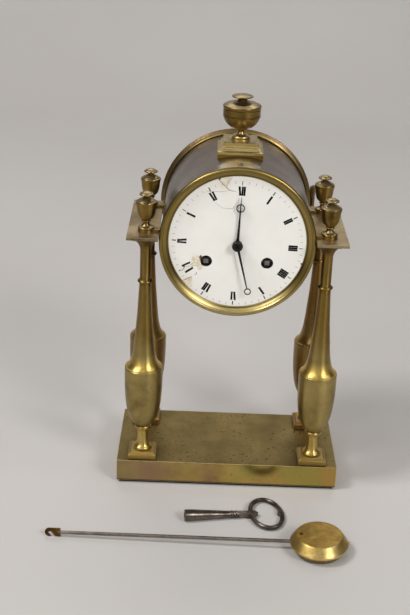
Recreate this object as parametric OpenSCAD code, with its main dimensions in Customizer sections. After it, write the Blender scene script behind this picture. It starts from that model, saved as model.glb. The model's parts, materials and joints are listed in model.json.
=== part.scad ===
// Portico mantel clock: a drum on four turned columns, with its striking movement,
// its pendulum and its winding key laid in front of it.
// Millimetres, +Z up, dial towards -Y, origin on the floor under the middle of the base.

/* [Base] */
// Width of the base
base_w = 210; // [190:1:240]
// Depth of the base
base_d = 102; // [96:1:130]
// Height of the brass plinth
base_h = 21.6; // [18:0.2:30]
// Height of the board that shows under the plinth
base_gap = 3; // [2:0.5:6]
// Wall of the plinth
base_wall = 2; // [1.5:0.5:5]

/* [Columns] */
// Gap between the bezel and the blocks under the platforms
drum_gap = 0.3; // [0.3:0.1:4]
// Distance of each column axis from the middle, front to back
column_y = 35; // [33:0.5:37]
// Height from the plinth to the platforms
column_h = 223.8; // [216:0.2:250]
// Side of the square foot
foot_w = 26.6; // [24:0.2:29]
// Height of the square foot
foot_h = 6.4; // [5:0.2:9]
// Side of the square block under the platform, over its lip
abacus_w = 22.8; // [21:0.2:26]
// Height of the square block under the platform
abacus_h = 3.4; // [2:0.2:5]
// Radius of the vase of the column
vase_r = 17.75; // [15:0.25:19]
// Height of the edge of the vase above the foot
vase_edge = 86.4; // [80:0.2:92]
// Radius of the thin neck under the vase
neck_r = 4.9; // [4.4:0.1:5.4]
// Radius at the top of the stem
stem_r = 5; // [4.6:0.1:6]

/* [Platforms and urns] */
// Thickness of the side platforms
platform_t = 2.5; // [2:0.1:4]
// How far the platforms reach outward past the column axes
platform_over = 16.4; // [13:0.2:20]
// Depth of the platforms
platform_d = 107.8; // [100:0.2:116]
// Thickness of the lugs that carry the drum
lug_t = 3.1; // [2.5:0.1:4]
// Radius of the small urns
urn_r = 9.3; // [8:0.1:10]
// Height of the small urns
urn_h = 34; // [32:0.5:38]
// Radius of the large urn
top_urn_r = 17.2; // [15:0.2:19]
// Height of the large urn
top_urn_h = 40.8; // [38:0.1:48]
// Side of the pedestal under the large urn
pedestal_w = 41; // [37:0.5:46]
// Distance of the large urn behind the middle
pedestal_y = 15.5; // [8:0.5:22]

/* [Drum] */
// Outer radius of the drum
drum_r = 68.5; // [67:0.1:69]
// Wall of the drum
drum_wall = 1.5; // [1:0.1:2]
// Front edge of the drum, before the middle
drum_front = 37; // [36:0.2:40]
// Rear edge of the drum, behind the middle
drum_rear = 74; // [72:0.5:84]
// Height of the platform tops above the drum axis
drum_drop = 6; // [5:0.2:10]
// How far the bezel stands out round the drum
bezel_out = 1.2; // [0.6:0.1:2]
// Width of the bezel, from the dial to the outside of the drum
bezel_w = 7.4; // [6.9:0.1:8.4]
// How far the rear ring stands out round the drum
ring_out = 4.8; // [3:0.1:6]
// Thickness of the rear door
door_t = 1.6; // [1.2:0.1:2.4]

/* [Movement] */
// How far the movement sits below the drum axis
works_drop = 1.4; // [0:0.1:2]
// Distance between the two winding squares
winding_gap = 54.6; // [54:0.1:56]
// Height of the dial centre above the winding squares
winding_drop = 17; // [16.5:0.1:17.5]
// Gap between the movement plates and the inside of the drum
plate_inset = 12; // [10:0.5:13]
// Thickness of the movement plates
plate_t = 2; // [1.6:0.1:2.4]
// Distance between the movement plates
plate_gap = 34; // [34:0.5:40]
// Radius of the winding holes in the dial
winding_hole_r = 5.5; // [5.3:0.1:6]
// Side of the winding squares
square_w = 4.2; // [3.8:0.1:4.6]
// Length of the hour hand
hour_hand_l = 44.5; // [42:0.5:50]
// Length of the minute hand to the middle of its ring
minute_hand_l = 44.2; // [42:0.1:54]
// Clock angle of the hour hand
hour_angle = 2; // [0:1:359]
// Clock angle of the minute hand
minute_angle = 165.6; // [0:0.2:359]
// Radius of the bell
bell_r = 36; // [32:0.5:38]

/* [Pendulum and key] */
// Length of the pendulum from the hook to the far edge of the bob
pendulum_l = 268; // [240:1:290]
// Radius of the bob
bob_r = 25.7; // [22:0.1:30]
// Thickness of the bob
bob_t = 16.5; // [14:0.5:20]
// Radius of the pendulum rod
pendulum_rod_r = 1.6; // [1.2:0.1:2]
// Length of the key
key_l = 92.6; // [84:0.2:100]
// Radius of the key barrel at its open end
key_r = 5.2; // [5:0.1:5.3]
// Width of the key bow
bow_w = 50.5; // [44:0.5:60]

/* [Hidden] */
$fn = 72;

// Finishes
brass = "#a58a46";
pale_brass = "#c2a55c";
dark_brass = "#6f6047";
steel = "#6d6a68";
blued = "#3a3837";
enamel = "#f0efe9";
wood = "#2e241c";

// Clearances
slip = 0.05;
pivot_slip = 0.04;
seat_gap = 0.02;
end_shake = 0.3;

// Levels above the floor
base_top = base_gap + base_h;
foot_top = base_top + foot_h;
platform_z = base_top + column_h;
platform_top = platform_z + platform_t;
abacus_z = platform_z - abacus_h;
turned_h = abacus_z - foot_top;
drum_z = platform_top - drum_drop;
works_z = drum_z - works_drop;
lug_top = platform_top + lug_t;
pedestal_h = 13.2;
pedestal_rise = 11.2;
pedestal_top = drum_z + drum_r + pedestal_rise;
column_x = drum_r + bezel_out + drum_gap + abacus_w / 2;
platform_x = column_x + platform_over;

// Base
plinth_ledge = 4;
plinth_top_t = 4;
board_h = 10;
board_fit = 0.3;

// Tie bolts
bolt_r = 2;
bolt_head_r = 5;
bolt_head_h = 3;
bolt_in_urn = 5;

// Corners of the portico as [side, depth]
front_left = [-1, -1];
front_right = [1, -1];
rear_left = [-1, 1];
rear_right = [1, 1];
corners = [front_left, front_right, rear_left, rear_right];

// Drum, bezel and rear ring
drum_bore = drum_r - drum_wall;
dial_r = drum_r - bezel_w;
plate_r = drum_bore - plate_inset;
spigot_fit = 0.1;
spigot_r = drum_bore - spigot_fit;
spigot_l = 4;
tongue_w = 12;
tongue_l = 6.5;
bezel_r = drum_r + bezel_out;
bezel_bead = 2.3;
dial_back = -drum_front - 0.9;
dial_t = 1.3;
dial_edge_r = dial_r + 1.2;
dial_dome = 1.2;
dial_front = dial_back - dial_t;
lip_front = dial_front - 0.3;
bezel_front = dial_front - 4.6;
ring_r = drum_r + ring_out;
ring_back = drum_rear + 6;
ring_open_r = plate_r + 3.5;
ring_recess_r = spigot_r - 0.9;
flange_t = 1.5;
flange_front = drum_rear - spigot_l;
door_r = ring_r - 2.2;
door_front = ring_back + 0.1;
door_back = door_front + door_t;
slot_w = 20;
slot_y = 16;
slot_l = 22;

// Screws and dial feet
screw_r = 1.2;
screw_head_r = 2.2;
strap_head_r = 1.9;
bezel_screw_y = spigot_l + tongue_l / 2 - drum_front;
dial_foot_angles = [35, 155, 270];
dial_foot_circle = plate_r - 8;
dial_foot_r = 1.3;

// Door hinge at the right of the rear ring
hinge_x = ring_r + 2;
hinge_y = door_front + door_t / 2;
hinge_r = 2.2;
hinge_pin_r = 1;
hinge_half = 18;
hinge_mid = 6.5;

// Movement layers along Y, from the dial back to the bell
front_plate_y = dial_back + 7.9;
front_plate_back = front_plate_y + plate_t;
back_plate_y = front_plate_back + plate_gap;
back_plate_back = back_plate_y + plate_t;
strap_x = drum_bore - 4;
strap_t = 1.6;
strap_w = 8;
pillar_r = 2.6;
pillar_end_r = 1.6;
pillar_circle = plate_r - 5;
pillar_angles = [20, 56, 160, 244, 296];

// Arbor places as [right, up] from the movement's axis, drawn for plates of this radius
drawn_plate_r = 55;
unit = plate_r / drawn_plate_r;
barrel_going = [winding_gap / 2, -winding_drop];
barrel_strike = [-winding_gap / 2, -winding_drop];
arbor_inter = unit * [0, -20.9];
arbor_centre = [0, 0];
arbor_third = unit * [12, 14.1];
arbor_escape = unit * [0, 27];
arbor_anchor = unit * [0, 44.6];
arbor_minute = unit * [9.9, 9.9];
arbor_second = unit * [-23.5, 10.3];
arbor_pin = unit * [-24.5, 25.2];
arbor_fly = unit * [-17.3, 37.7];
arbor_hammer = unit * [-42, 8];
bell_at = unit * [16, -12];

// Teeth
great_n = 80;
inter_pinion_n = 12;
inter_n = 66;
centre_pinion_n = 10;
centre_n = 80;
third_pinion_n = 8;
third_n = 80;
escape_pinion_n = 8;
escape_n = 36;
second_pinion_n = 12;
second_n = 60;
pin_pinion_n = 8;
pin_n = 64;
fly_pinion_n = 8;
cannon_n = 14;
minute_n = 42;
minute_pinion_n = 12;
hour_n = 48;
addendum = 0.6;
dedendum = 0.85;
tooth_share = 0.38;

// Sizes of the train
pivot_r = 0.8;
arbor_r = 1.2;
barrel_r = 21;
barrel_wall = 1.4;
winding_r = 3;
winding_pivot_r = 2.4;
square_front = dial_back - 1.4;
wheel_t = 1.5;
escape_r = 13 * unit;
pallet_gap = 0.9;
crutch_foot = 36;
ratchet_n = 24;
ratchet_r = 8.6;
ratchet_t = 2.2;
spring_turns = 7;
spring_t = 0.7;

// Modules of the gears, one for each mesh
going_m = module_of(barrel_going, arbor_inter, great_n, inter_pinion_n);
inter_m = module_of(arbor_inter, arbor_centre, inter_n, centre_pinion_n);
centre_m = module_of(arbor_centre, arbor_third, centre_n, third_pinion_n);
third_m = module_of(arbor_third, arbor_escape, third_n, escape_pinion_n);
strike_m = module_of(barrel_strike, arbor_second, great_n, second_pinion_n);
second_m = module_of(arbor_second, arbor_pin, second_n, pin_pinion_n);
pin_m = module_of(arbor_pin, arbor_fly, pin_n, fly_pinion_n);
cannon_m = module_of(arbor_centre, arbor_minute, cannon_n, minute_n);
hour_m = module_of(arbor_centre, arbor_minute, hour_n, minute_pinion_n);

// Gear layers, counted back from the front plate
centre_layer = front_plate_back + 0.8;
barrel_front = front_plate_back + 3.4;
going_great = back_plate_y - 10;
strike_great = back_plate_y - 16;
pin_layer = back_plate_y - 20;
escape_layer = back_plate_y - 14;
third_layer = back_plate_y - 6;
inter_layer = back_plate_y - 3.5;
great_t = 2.4;
motion_layer = front_plate_y - 3.3;
hour_layer = front_plate_y - 6.2;
count_y = back_plate_back + 1;
crutch_y = back_plate_back + 4;
cock_y = back_plate_back + 10;
cock_t = 2.6;
bell_rim_y = back_plate_back + 17;
bell_depth = 20;
bell_t = 1.6;

// Back of the movement: bell post, hammer, cock and silk arbor
bell_post_r = 2;
hammer_y = bell_rim_y - 6;
hammer_at = 22;
hammer_clear = 4;
bell_rim_at = bell_at + (bell_r + hammer_clear) * [-cos(hammer_at), sin(hammer_at)];
cock_foot_x = 9;
cock_foot_z = arbor_anchor[1] + 3;
silk_z = arbor_anchor[1] + 8.4;
silk_r = 1.2;

// Pins that lift the hammer
lift_pins = 8;
pin_circle = 11.2 * unit;
lift_pin_r = 0.5;
lift_pin_l = 1.8;

// Hands, in front of the dial
hand_t = 0.8;
hour_hand_y = dial_front - dial_dome - 2.6;
minute_hand_y = hour_hand_y - 2.4;
collet_front = minute_hand_y - 2;
centre_arbor_r = 1.5;
cannon_pipe_r = 2;
hour_pipe_r = 3;

// Pendulum and key on the floor
pendulum_end = [81.4, -150.4];
pendulum_turn = 1.7;
hook_l = 14;
hook_h = 8;
hook_t = 1.4;
bob_face_r = bob_r - 5.6;
pendulum_tilt = asin((bob_t / 2 - hook_h / 2) / (pendulum_l - bob_r));
key_end = [-37.8, -111.3];
key_turn = 8.8;
bow_l = 33.4;
bow_cusp = 9;
far_cusp = 1.8;
bow_r = 2.2;
key_mouth = 8;
key_tilt = asin((key_r - bow_r) / (key_l - bow_r - key_mouth));

// Gear arithmetic; a meshed phase turns a gap towards the tooth that drives it
function gap(a, b) = norm(b - a);
function towards(a, b) = atan2(b[1] - a[1], b[0] - a[0]);
function module_of(a, b, na, nb) = 2 * gap(a, b) / (na + nb);
function meshed(from, to, n) = towards(to, from) + 180 / n;
function tooth_points(n, m, phase) = [
  for (i = [0 : n - 1])
    for (k = [[-0.58, -dedendum], [-0.36, addendum], [0.36, addendum], [0.58, -dedendum]])
      let (a = phase + 360 / n * (i + k[0] * tooth_share), r = m * (n / 2 + k[1]))
        [r * cos(a), r * sin(a)]
];

// Curves for turned outlines, as [radius, height]
function cubic(a, b, c, d, steps = 10) = [
  for (i = [0 : steps])
    let (t = i / steps, s = 1 - t)
      s * s * s * a + 3 * s * s * t * b + 3 * s * t * t * c + t * t * t * d
];
function bead(r, out, z, h, steps = 8) = [
  for (i = [0 : steps])
    let (a = 180 * i / steps)
      [r + out * sin(a), z + h * (1 - cos(a)) / 2]
];

function stretched(wide, tall, outline) = [for (p = outline) [p[0] * wide, p[1] * tall]];

// Solid of revolution about Z from an outline of [radius, height]
module turned(outline) {
  rotate_extrude()
    polygon(outline);
}

// Solid of revolution about Y from an outline of [radius, depth]
module turned_y(outline) {
  rotate([-90, 0, 0])
    turned(outline);
}

// Round bar along Y
module rod_y(r, from, to) {
  translate([0, from, 0])
    rotate([-90, 0, 0])
      cylinder(r = r, h = to - from);
}

// Flat shape in the X-Z plane, given thickness along Y
module slab(from, to) {
  translate([0, to, 0])
    rotate([90, 0, 0])
      linear_extrude(to - from)
        children();
}

// Square moulding from an outline of [half width, height]
module square_moulding(outline) {
  both = concat(outline, [for (i = [len(outline) - 1 : -1 : 0]) [-outline[i][0], outline[i][1]]]);
  reach = 2 * max([for (p = outline) p[0]]);
  intersection() {
    rotate([90, 0, 0])
      linear_extrude(reach, center = true)
        polygon(both);
    rotate([90, 0, 90])
      linear_extrude(reach, center = true)
        polygon(both);
  }
}

// Places an arbor's pieces on its axis
module on_arbor(p) {
  translate([p[0], 0, works_z + p[1]])
    children();
}

// Places a piece at one corner of the portico
module at_corner(c, z) {
  translate([c[0] * column_x, c[1] * column_y, z])
    children();
}

// Toothed wheel with crossings, flat in the plane of the drawing
module wheel_shape(n, m, phase, hub, arms = 5) {
  rim = m * (n / 2 - 2.6);
  difference() {
    polygon(tooth_points(n, m, phase));
    difference() {
      circle(r = rim);
      circle(r = hub);
      for (i = [0 : arms - 1])
        rotate(90 + 360 / arms * i)
          translate([0, -rim * 0.055])
            square([rim + 1, rim * 0.11]);
    }
  }
}

module pinion(n, m, phase, from, to) {
  slab(from, to)
    polygon(tooth_points(n, m, phase));
}

// Arbor between the plates, with a pivot in each
module arbor(from, to, r = arbor_r) {
  rod_y(r, from + end_shake, to - end_shake);
  rod_y(pivot_r, from - plate_t, to + plate_t);
}

// Base

module base_plinth() {
  color(brass)
    difference() {
      translate([-base_w / 2, -base_d / 2, base_gap])
        cube([base_w, base_d, base_h]);
      plinth_hollow(base_wall, 0, board_h);
      plinth_hollow(base_wall + plinth_ledge, board_h - 1, base_top - plinth_top_t);
      for (c = corners)
        at_corner(c, base_top - plinth_top_t - 1)
          cylinder(r = bolt_r + slip, h = plinth_top_t + 2);
    }
}

module plinth_hollow(inset, from, to) {
  translate([inset - base_w / 2, inset - base_d / 2, from])
    cube([base_w - 2 * inset, base_d - 2 * inset, to - from]);
}

module base_board() {
  inset = base_wall + board_fit;
  color(wood)
    plinth_hollow(inset, 0, board_h);
}

module tie_bolts() {
  head_z = base_top - plinth_top_t;
  color(steel)
    for (c = corners)
      at_corner(c, 0) {
        translate([0, 0, head_z - bolt_head_h])
          cylinder(r = bolt_head_r, h = bolt_head_h);
        translate([0, 0, head_z - 1])
          cylinder(r = bolt_r, h = lug_top + bolt_in_urn - head_z + 1);
      }
}

// Columns

function column_outline() = concat(
  [[bolt_r + slip, 0]],
  bead(7.3, 1.4, 0, 3.2),
  cubic([7.9, 3.3], [6, 4.6], [neck_r, 8.6], [neck_r - 0.1, 15.4]),
  [[neck_r + 0.2, 19], [neck_r + 0.9, 21]],
  bead(6.1, 1.7, 21.4, 4.2),
  cubic([6.5, 26], [14.6, 30.5], [vase_r + 0.4, 46], [vase_r, vase_edge - 4], 20),
  [[vase_r, vase_edge], [vase_r - 0.5, vase_edge + 0.4], [vase_r - 0.6, vase_edge + 1.2]],
  cubic([vase_r - 0.9, vase_edge + 1.3], [9.4, vase_edge + 6], [9.6, vase_edge + 24],
    [6.9, vase_edge + 53], 20),
  [[stem_r + 0.2, turned_h - 43.2]],
  bead(stem_r, 2, turned_h - 42.8, 3.2),
  [[stem_r - 0.1, turned_h - 39.4], [stem_r - 0.1, turned_h - 12.4]],
  cubic([stem_r - 0.1, turned_h - 11.8], [stem_r + 0.3, turned_h - 6.4], [7.6, turned_h - 4.4],
    [abacus_w / 2 - 0.8, turned_h - 0.9]),
  [[abacus_w / 2 - 0.8, turned_h], [bolt_r + slip, turned_h]]
);

module column(c) {
  color(brass)
    at_corner(c, foot_top)
      turned(column_outline());
}

module column_front_left() column(front_left);
module column_front_right() column(front_right);
module column_rear_left() column(rear_left);
module column_rear_right() column(rear_right);

module column_feet() {
  half = foot_w / 2;
  color(brass)
    for (c = corners)
      at_corner(c, base_top)
        bored(foot_h)
          square_moulding([
            [half, 0], [half, foot_h - 2.2], [half - 0.8, foot_h - 2.2],
            [half - 1.6, foot_h - 0.9], [half - 2.6, foot_h - 0.5], [half - 2.6, foot_h]
          ]);
}

module column_abaci() {
  half = abacus_w / 2;
  color(brass)
    for (c = corners)
      at_corner(c, abacus_z)
        bored(abacus_h)
          square_moulding([
            [half - 0.5, 0], [half - 0.5, abacus_h * 0.3], [half, abacus_h * 0.5], [half, abacus_h]
          ]);
}

// Cuts the tie bolt's hole through a piece of the given height
module bored(h) {
  difference() {
    children();
    translate([0, 0, -1])
      cylinder(r = bolt_r + slip, h = h + 2);
  }
}

// Platforms, lugs and urns

module side_platform(side) {
  inner = bezel_r + slip;
  wide = platform_x - inner;
  color(dark_brass)
    difference() {
      translate([side > 0 ? inner : -platform_x, -platform_d / 2, platform_z])
        cube([wide, platform_d, platform_t]);
      for (depth = [-1, 1])
        at_corner([side, depth], platform_z - 1)
          cylinder(r = bolt_r + slip, h = platform_t + 2);
    }
}

module side_platform_left() side_platform(-1);
module side_platform_right() side_platform(1);

module drum_lugs() {
  tip_r = 7.3;
  arm_w = 8;
  root_x = drum_r - 3 - column_x;
  color(dark_brass)
    difference() {
      for (c = corners)
        at_corner(c, platform_top)
          mirror([c[0] > 0 ? 0 : 1, 0, 0])
            linear_extrude(lug_t)
              difference() {
                union() {
                  circle(r = tip_r);
                  translate([root_x, -arm_w / 2])
                    square([-root_x, arm_w]);
                }
                circle(r = bolt_r + slip);
              }
      translate([0, 0, drum_z])
        rod_y(drum_r + seat_gap, -platform_d, platform_d);
      translate([0, 0, drum_z])
        rod_y(bezel_r + drum_gap, -platform_d, drum_gap - drum_front);
    }
}

function bolt_socket() = [
  [0, bolt_in_urn + 0.3], [bolt_r + slip, bolt_in_urn + 0.3], [bolt_r + slip, 0]
];

// Outline of a small urn, drawn 9.3 wide from the axis and 34 high
function urn_outline() = concat(bolt_socket(), stretched(urn_r / 9.3, urn_h / 34, concat(
  bead(6.4, 0.9, 0, 1.8),
  cubic([6, 1.9], [4.4, 2.4], [3, 3.6], [2.9, 5.6]),
  bead(3, 1.2, 6.2, 1.6),
  cubic([3.6, 8.4], [7.3, 9.6], [8.3, 15], [8.6, 20]),
  [[8.6, 21], [8.9, 21.2], [8.9, 22.4]],
  bead(8.9, 0.4, 22.6, 2.6),
  cubic([8.5, 25.3], [6.8, 27], [4.5, 27.6], [2.6, 28.8]),
  [[2.4, 29.8], [4.6, 30.4]],
  bead(5.4, 0.9, 30.6, 1.6),
  cubic([5, 32.3], [4, 33.4], [2, 34], [0, 34], 5)
)));

module small_urn(c) {
  color(brass)
    at_corner(c, lug_top)
      turned(urn_outline());
}

module urn_front_left() small_urn(front_left);
module urn_front_right() small_urn(front_right);
module urn_rear_left() small_urn(rear_left);
module urn_rear_right() small_urn(rear_right);

// Large urn on its pedestal

function pedestal_outline() = let (half = pedestal_w / 2) concat(
  [[half, -pedestal_h - 6], [half, -7.6], [half - 0.6, -7.4]],
  cubic([half - 0.8, -7.2], [half - 3, -6.6], [half - 3.2, -4.6], [half - 3.4, -3.8], 6),
  [[half - 4.4, -3.8], [half - 5, -3], [half - 5, -0.4], [half - 5.4, 0]]
);

module top_pedestal() {
  color(pale_brass)
    difference() {
      translate([0, pedestal_y, pedestal_top])
        square_moulding(pedestal_outline());
      translate([0, 0, drum_z])
        rod_y(drum_r + seat_gap, -drum_rear, 2 * drum_rear);
      translate([0, pedestal_y, drum_z])
        cylinder(r = bolt_r + slip, h = pedestal_top - drum_z + 1);
    }
}

// Outline of the large urn, drawn 17.2 wide from the axis and 42.3 high
function top_urn_outline() = concat(bolt_socket(), stretched(top_urn_r / 17.2, top_urn_h / 42.3, concat(
  [[8.6, 0], [8.6, 1.2]],
  bead(7.2, 1.1, 1.4, 2.4),
  cubic([6.2, 4], [4, 4.6], [3.2, 6], [3.1, 8]),
  cubic([3.1, 8.2], [4.6, 10.4], [8, 11.4], [10.4, 12.2], 6),
  cubic([10.6, 12.5], [14.6, 15.4], [15.9, 18.4], [16.4, 21.6]),
  [[16.9, 21.7], [16.9, 22.4], [16, 22.7], [16, 23.4], [16.8, 23.7]],
  [[16.9, 28.6], [16.1, 28.9], [16.1, 29.5]],
  bead(16.7, 0.5, 29.8, 2.6),
  cubic([16.2, 32.6], [13.2, 34.6], [9, 35], [6, 35.6]),
  bead(3.8, 0.8, 35.8, 1.6),
  [[3.1, 37.8], [3, 38.7], [7, 39.3]],
  bead(8.6, 1, 39.5, 1.5),
  cubic([8.4, 41.1], [6, 42], [3, 42.3], [0, 42.3], 5)
)));

module top_urn() {
  color(brass)
    translate([0, pedestal_y, pedestal_top])
      turned(top_urn_outline());
}

// Drum, bezel, rear ring and door

module drum_shell() {
  color(dark_brass)
    translate([0, 0, drum_z])
      difference() {
        rod_y(drum_r, -drum_front, drum_rear);
        rod_y(drum_bore, -drum_front - 1, drum_rear + 1);
        translate([-slot_w / 2, slot_y - slot_l / 2, -drum_r - 1])
          cube([slot_w, slot_l, drum_r / 2]);
        translate([0, pedestal_y, 0])
          cylinder(r = bolt_r + slip, h = drum_r + 1);
        translate([0, bezel_screw_y, 0])
          cylinder(r = screw_r + slip, h = drum_r + 1);
      }
}

function bezel_outline() = concat(
  [[dial_edge_r + 0.2, spigot_l - drum_front], [dial_edge_r + 0.2, dial_front - 0.1]],
  [[dial_r, dial_front - 0.1], [dial_r, lip_front]],
  cubic([dial_r + 0.2, lip_front], [dial_r + 2, lip_front - 0.6], [dial_r + 3, bezel_front + 1.4],
    [bezel_r - 3.6, bezel_front + 1.2], 8),
  [[bezel_r - 3.6, bezel_front + 0.5]],
  [for (i = [0 : 10]) let (a = 160 - 210 * i / 10)
    [bezel_r - bezel_bead + bezel_bead * cos(a), bezel_front + bezel_bead - bezel_bead * sin(a)]],
  [[drum_r + 0.2, -drum_front - 0.05], [spigot_r, -drum_front - 0.05], [spigot_r, spigot_l - drum_front]]
);

module front_bezel() {
  color(pale_brass)
    translate([0, 0, drum_z])
      difference() {
        union() {
          turned_y(bezel_outline());
          bezel_tongue();
        }
        translate([0, bezel_screw_y, 0])
          cylinder(r = screw_r + slip, h = drum_r + 1);
      }
}

// Tongue on the spigot, which the screw on top of the drum holds
module bezel_tongue() {
  inside = dial_edge_r + 0.2;
  front = spigot_l - drum_front - 1;
  back = front + tongue_l + 1;
  intersection() {
    turned_y([[inside, front], [spigot_r, front], [spigot_r, back], [inside, back]]);
    translate([-tongue_w / 2, front - 1, 0])
      cube([tongue_w, back - front + 2, drum_r]);
  }
}

function ring_outline() = concat(
  [[ring_open_r, flange_front], [spigot_r, flange_front]],
  [[spigot_r, drum_rear + 0.05], [drum_r + 0.6, drum_rear + 0.05]],
  cubic([drum_r + 0.8, drum_rear + 0.4], [drum_r + 1, drum_rear + 1.4], [ring_r - 2.4, drum_rear + 1.6],
    [ring_r - 1.6, drum_rear + 2], 6),
  [[ring_r - 1.6, drum_rear + 2.4]],
  bead(ring_r - 1.4, 1.4, drum_rear + 2.6, 2.6),
  [[ring_r - 1.4, ring_back], [ring_recess_r, ring_back]],
  [[ring_recess_r, flange_front + flange_t], [ring_open_r, flange_front + flange_t]]
);

module rear_ring() {
  knuckle_l = hinge_half - hinge_mid - end_shake;
  block_x = door_r + 0.9;
  block_y = drum_rear + 3;
  color(brass)
    difference() {
      union() {
        translate([0, 0, drum_z])
          turned_y(ring_outline());
        for (from = [-hinge_half, hinge_mid + end_shake]) {
          knuckle(from, from + knuckle_l);
          translate([block_x, block_y, drum_z + from])
            cube([hinge_x - block_x, hinge_y - block_y, knuckle_l]);
        }
      }
      hinge_bore(seat_gap);
      for (side = [-1, 1])
        translate([side * (strap_x + strap_t / 2), 0, works_z])
          rod_y(screw_r + slip, flange_front - 1, flange_front + flange_t + 1);
    }
}

module knuckle(from, to) {
  translate([hinge_x, hinge_y, drum_z + from])
    cylinder(r = hinge_r, h = to - from);
}

module hinge_bore(fit) {
  translate([hinge_x, hinge_y, drum_z - hinge_half - 1])
    cylinder(r = hinge_pin_r + fit, h = 2 * hinge_half + 2);
}

function door_outline() = concat(
  [[0, door_front], [door_r, door_front]],
  bead(door_r, 0.5, door_front, door_t),
  [[door_r - 3, door_back], [door_r - 4, door_back + 0.5]],
  [[door_r - 6, door_back + 0.5], [door_r - 7, door_back]],
  cubic([door_r - 20, door_back], [20, door_back + 0.6], [10, door_back + 0.9], [0, door_back + 0.9], 6)
);

function knob_outline() = [
  [0, door_back - 0.5], [1.6, door_back - 0.5], [1.6, door_back + 2], [3.2, door_back + 3],
  [3.2, door_back + 4.4], [2.4, door_back + 5], [0, door_back + 5]
];

module rear_door() {
  knob_x = door_r - 8;
  leaf_x = door_r - 4;
  color(brass)
    difference() {
      union() {
        translate([0, 0, drum_z])
          turned_y(door_outline());
        knuckle(-hinge_mid, hinge_mid);
        translate([leaf_x, door_front, drum_z - hinge_mid])
          cube([hinge_x - leaf_x, door_t, 2 * hinge_mid]);
        translate([-knob_x, 0, drum_z])
          turned_y(knob_outline());
      }
      hinge_bore(slip);
    }
}

module hinge_pin() {
  color(steel)
    translate([hinge_x, hinge_y, drum_z - hinge_half - 0.6])
      cylinder(r = hinge_pin_r, h = 2 * hinge_half + 1.2);
}

// Bezel screw, urn bolt and the two strap screws
module case_screws() {
  color(steel) {
    translate([0, bezel_screw_y, drum_z]) {
      translate([0, 0, drum_bore - 3])
        cylinder(r = screw_r, h = drum_wall + 3.5);
      translate([0, 0, drum_r])
        turned(concat([[0, 0.03], [screw_head_r, 0.03]],
          cubic([screw_head_r, 0.3], [screw_head_r - 0.1, 0.8], [1, 1.2], [0, 1.2], 5)));
    }
    translate([0, pedestal_y, drum_z]) {
      translate([0, 0, drum_bore - 3.6])
        cylinder(r = bolt_head_r, h = 3.1);
      translate([0, 0, drum_bore - 1])
        cylinder(r = bolt_r, h = pedestal_top - drum_z - drum_bore + 1 + bolt_in_urn);
    }
    for (side = [-1, 1])
      translate([side * (strap_x + strap_t / 2), 0, works_z]) {
        rod_y(screw_r / 2, flange_front - 3, flange_front + flange_t + 0.5);
        rod_y(strap_head_r, flange_front + flange_t, flange_front + flange_t + 1.2);
      }
  }
}

// Dial and hands

module dial() {
  color(enamel)
    translate([0, 0, drum_z])
      difference() {
        union() {
          turned_y(concat(
            [[0, dial_back], [dial_edge_r, dial_back], [dial_edge_r, dial_front]],
            [for (i = [0 : 12]) let (r = dial_edge_r * (1 - i / 12))
              [r, dial_front - dial_dome * (1 - pow(r / dial_edge_r, 2))]]
          ));
          translate([0, 0, -works_drop])
            for (a = dial_foot_angles)
              rotate([0, a, 0])
                translate([0, 0, dial_foot_circle])
                  rod_y(dial_foot_r, dial_back - 0.1, front_plate_back);
        }
        for (p = [barrel_going, barrel_strike])
          translate([p[0], 0, p[1] - works_drop])
            rod_y(winding_hole_r, dial_front - 5, dial_back + 1);
        translate([0, 0, -works_drop])
          rod_y(hour_pipe_r + 1, dial_front - 5, dial_back + 1);
      }
}

module hour_hand() {
  ring_at = hour_hand_l - 10.1;
  bar = [[-1.3, 0], [1.3, 0], [0.55, ring_at], [0.2, hour_hand_l], [-0.2, hour_hand_l], [-0.55, ring_at]];
  color(blued)
    translate([0, 0, works_z])
      slab(hour_hand_y, hour_hand_y + hand_t)
        rotate(-hour_angle)
          difference() {
            union() {
              circle(r = hour_pipe_r + 1.4);
              polygon(bar);
              translate([0, ring_at])
                ring_shape(3.8, 2.9);
            }
            circle(r = hour_pipe_r - 0.5 + seat_gap);
          }
}

module ring_shape(outer, inner) {
  difference() {
    circle(r = outer);
    circle(r = inner);
  }
}

module minute_hand() {
  eye_r = 3.1;
  bar_l = minute_hand_l - eye_r + 0.3;
  color(blued)
    translate([0, 0, works_z])
      slab(minute_hand_y, minute_hand_y + hand_t)
        rotate(-minute_angle)
          difference() {
            union() {
              circle(r = 4.4);
              polygon([[-1.2, 0], [1.2, 0], [0.5, bar_l], [-0.5, bar_l]]);
              translate([0, minute_hand_l])
                ring_shape(eye_r, eye_r - 0.9);
            }
            circle(r = cannon_pipe_r + seat_gap);
          }
}

module hand_collet() {
  collet_r = 4.8;
  collet_back = minute_hand_y - 0.02;
  color(blued)
    translate([0, 0, works_z])
      turned_y(concat(
        [[centre_arbor_r + slip, collet_back], [centre_arbor_r + slip, collet_front], [2.6, collet_front]],
        cubic([3, collet_front], [4, collet_front + 0.2], [collet_r, collet_front + 0.8],
          [collet_r, minute_hand_y - 0.6], 6),
        [[collet_r, collet_back]]
      ));
}

// Movement frame

module plate_holes(front) {
  y0 = front ? front_plate_y : back_plate_y;
  trains = [arbor_inter, arbor_third, arbor_escape, arbor_second, arbor_pin, arbor_fly, arbor_hammer];
  for (p = trains)
    translate([p[0], 0, p[1]])
      rod_y(pivot_r + pivot_slip, y0 - 1, y0 + plate_t + 1);
  for (p = [barrel_going, barrel_strike])
    translate([p[0], 0, p[1]])
      rod_y(winding_pivot_r + pivot_slip, y0 - 1, y0 + plate_t + 1);
  for (a = pillar_angles)
    rotate([0, -a, 0])
      translate([pillar_circle, 0, 0])
        rod_y(pillar_end_r + seat_gap, y0 - 1, y0 + plate_t + 1);
}

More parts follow.
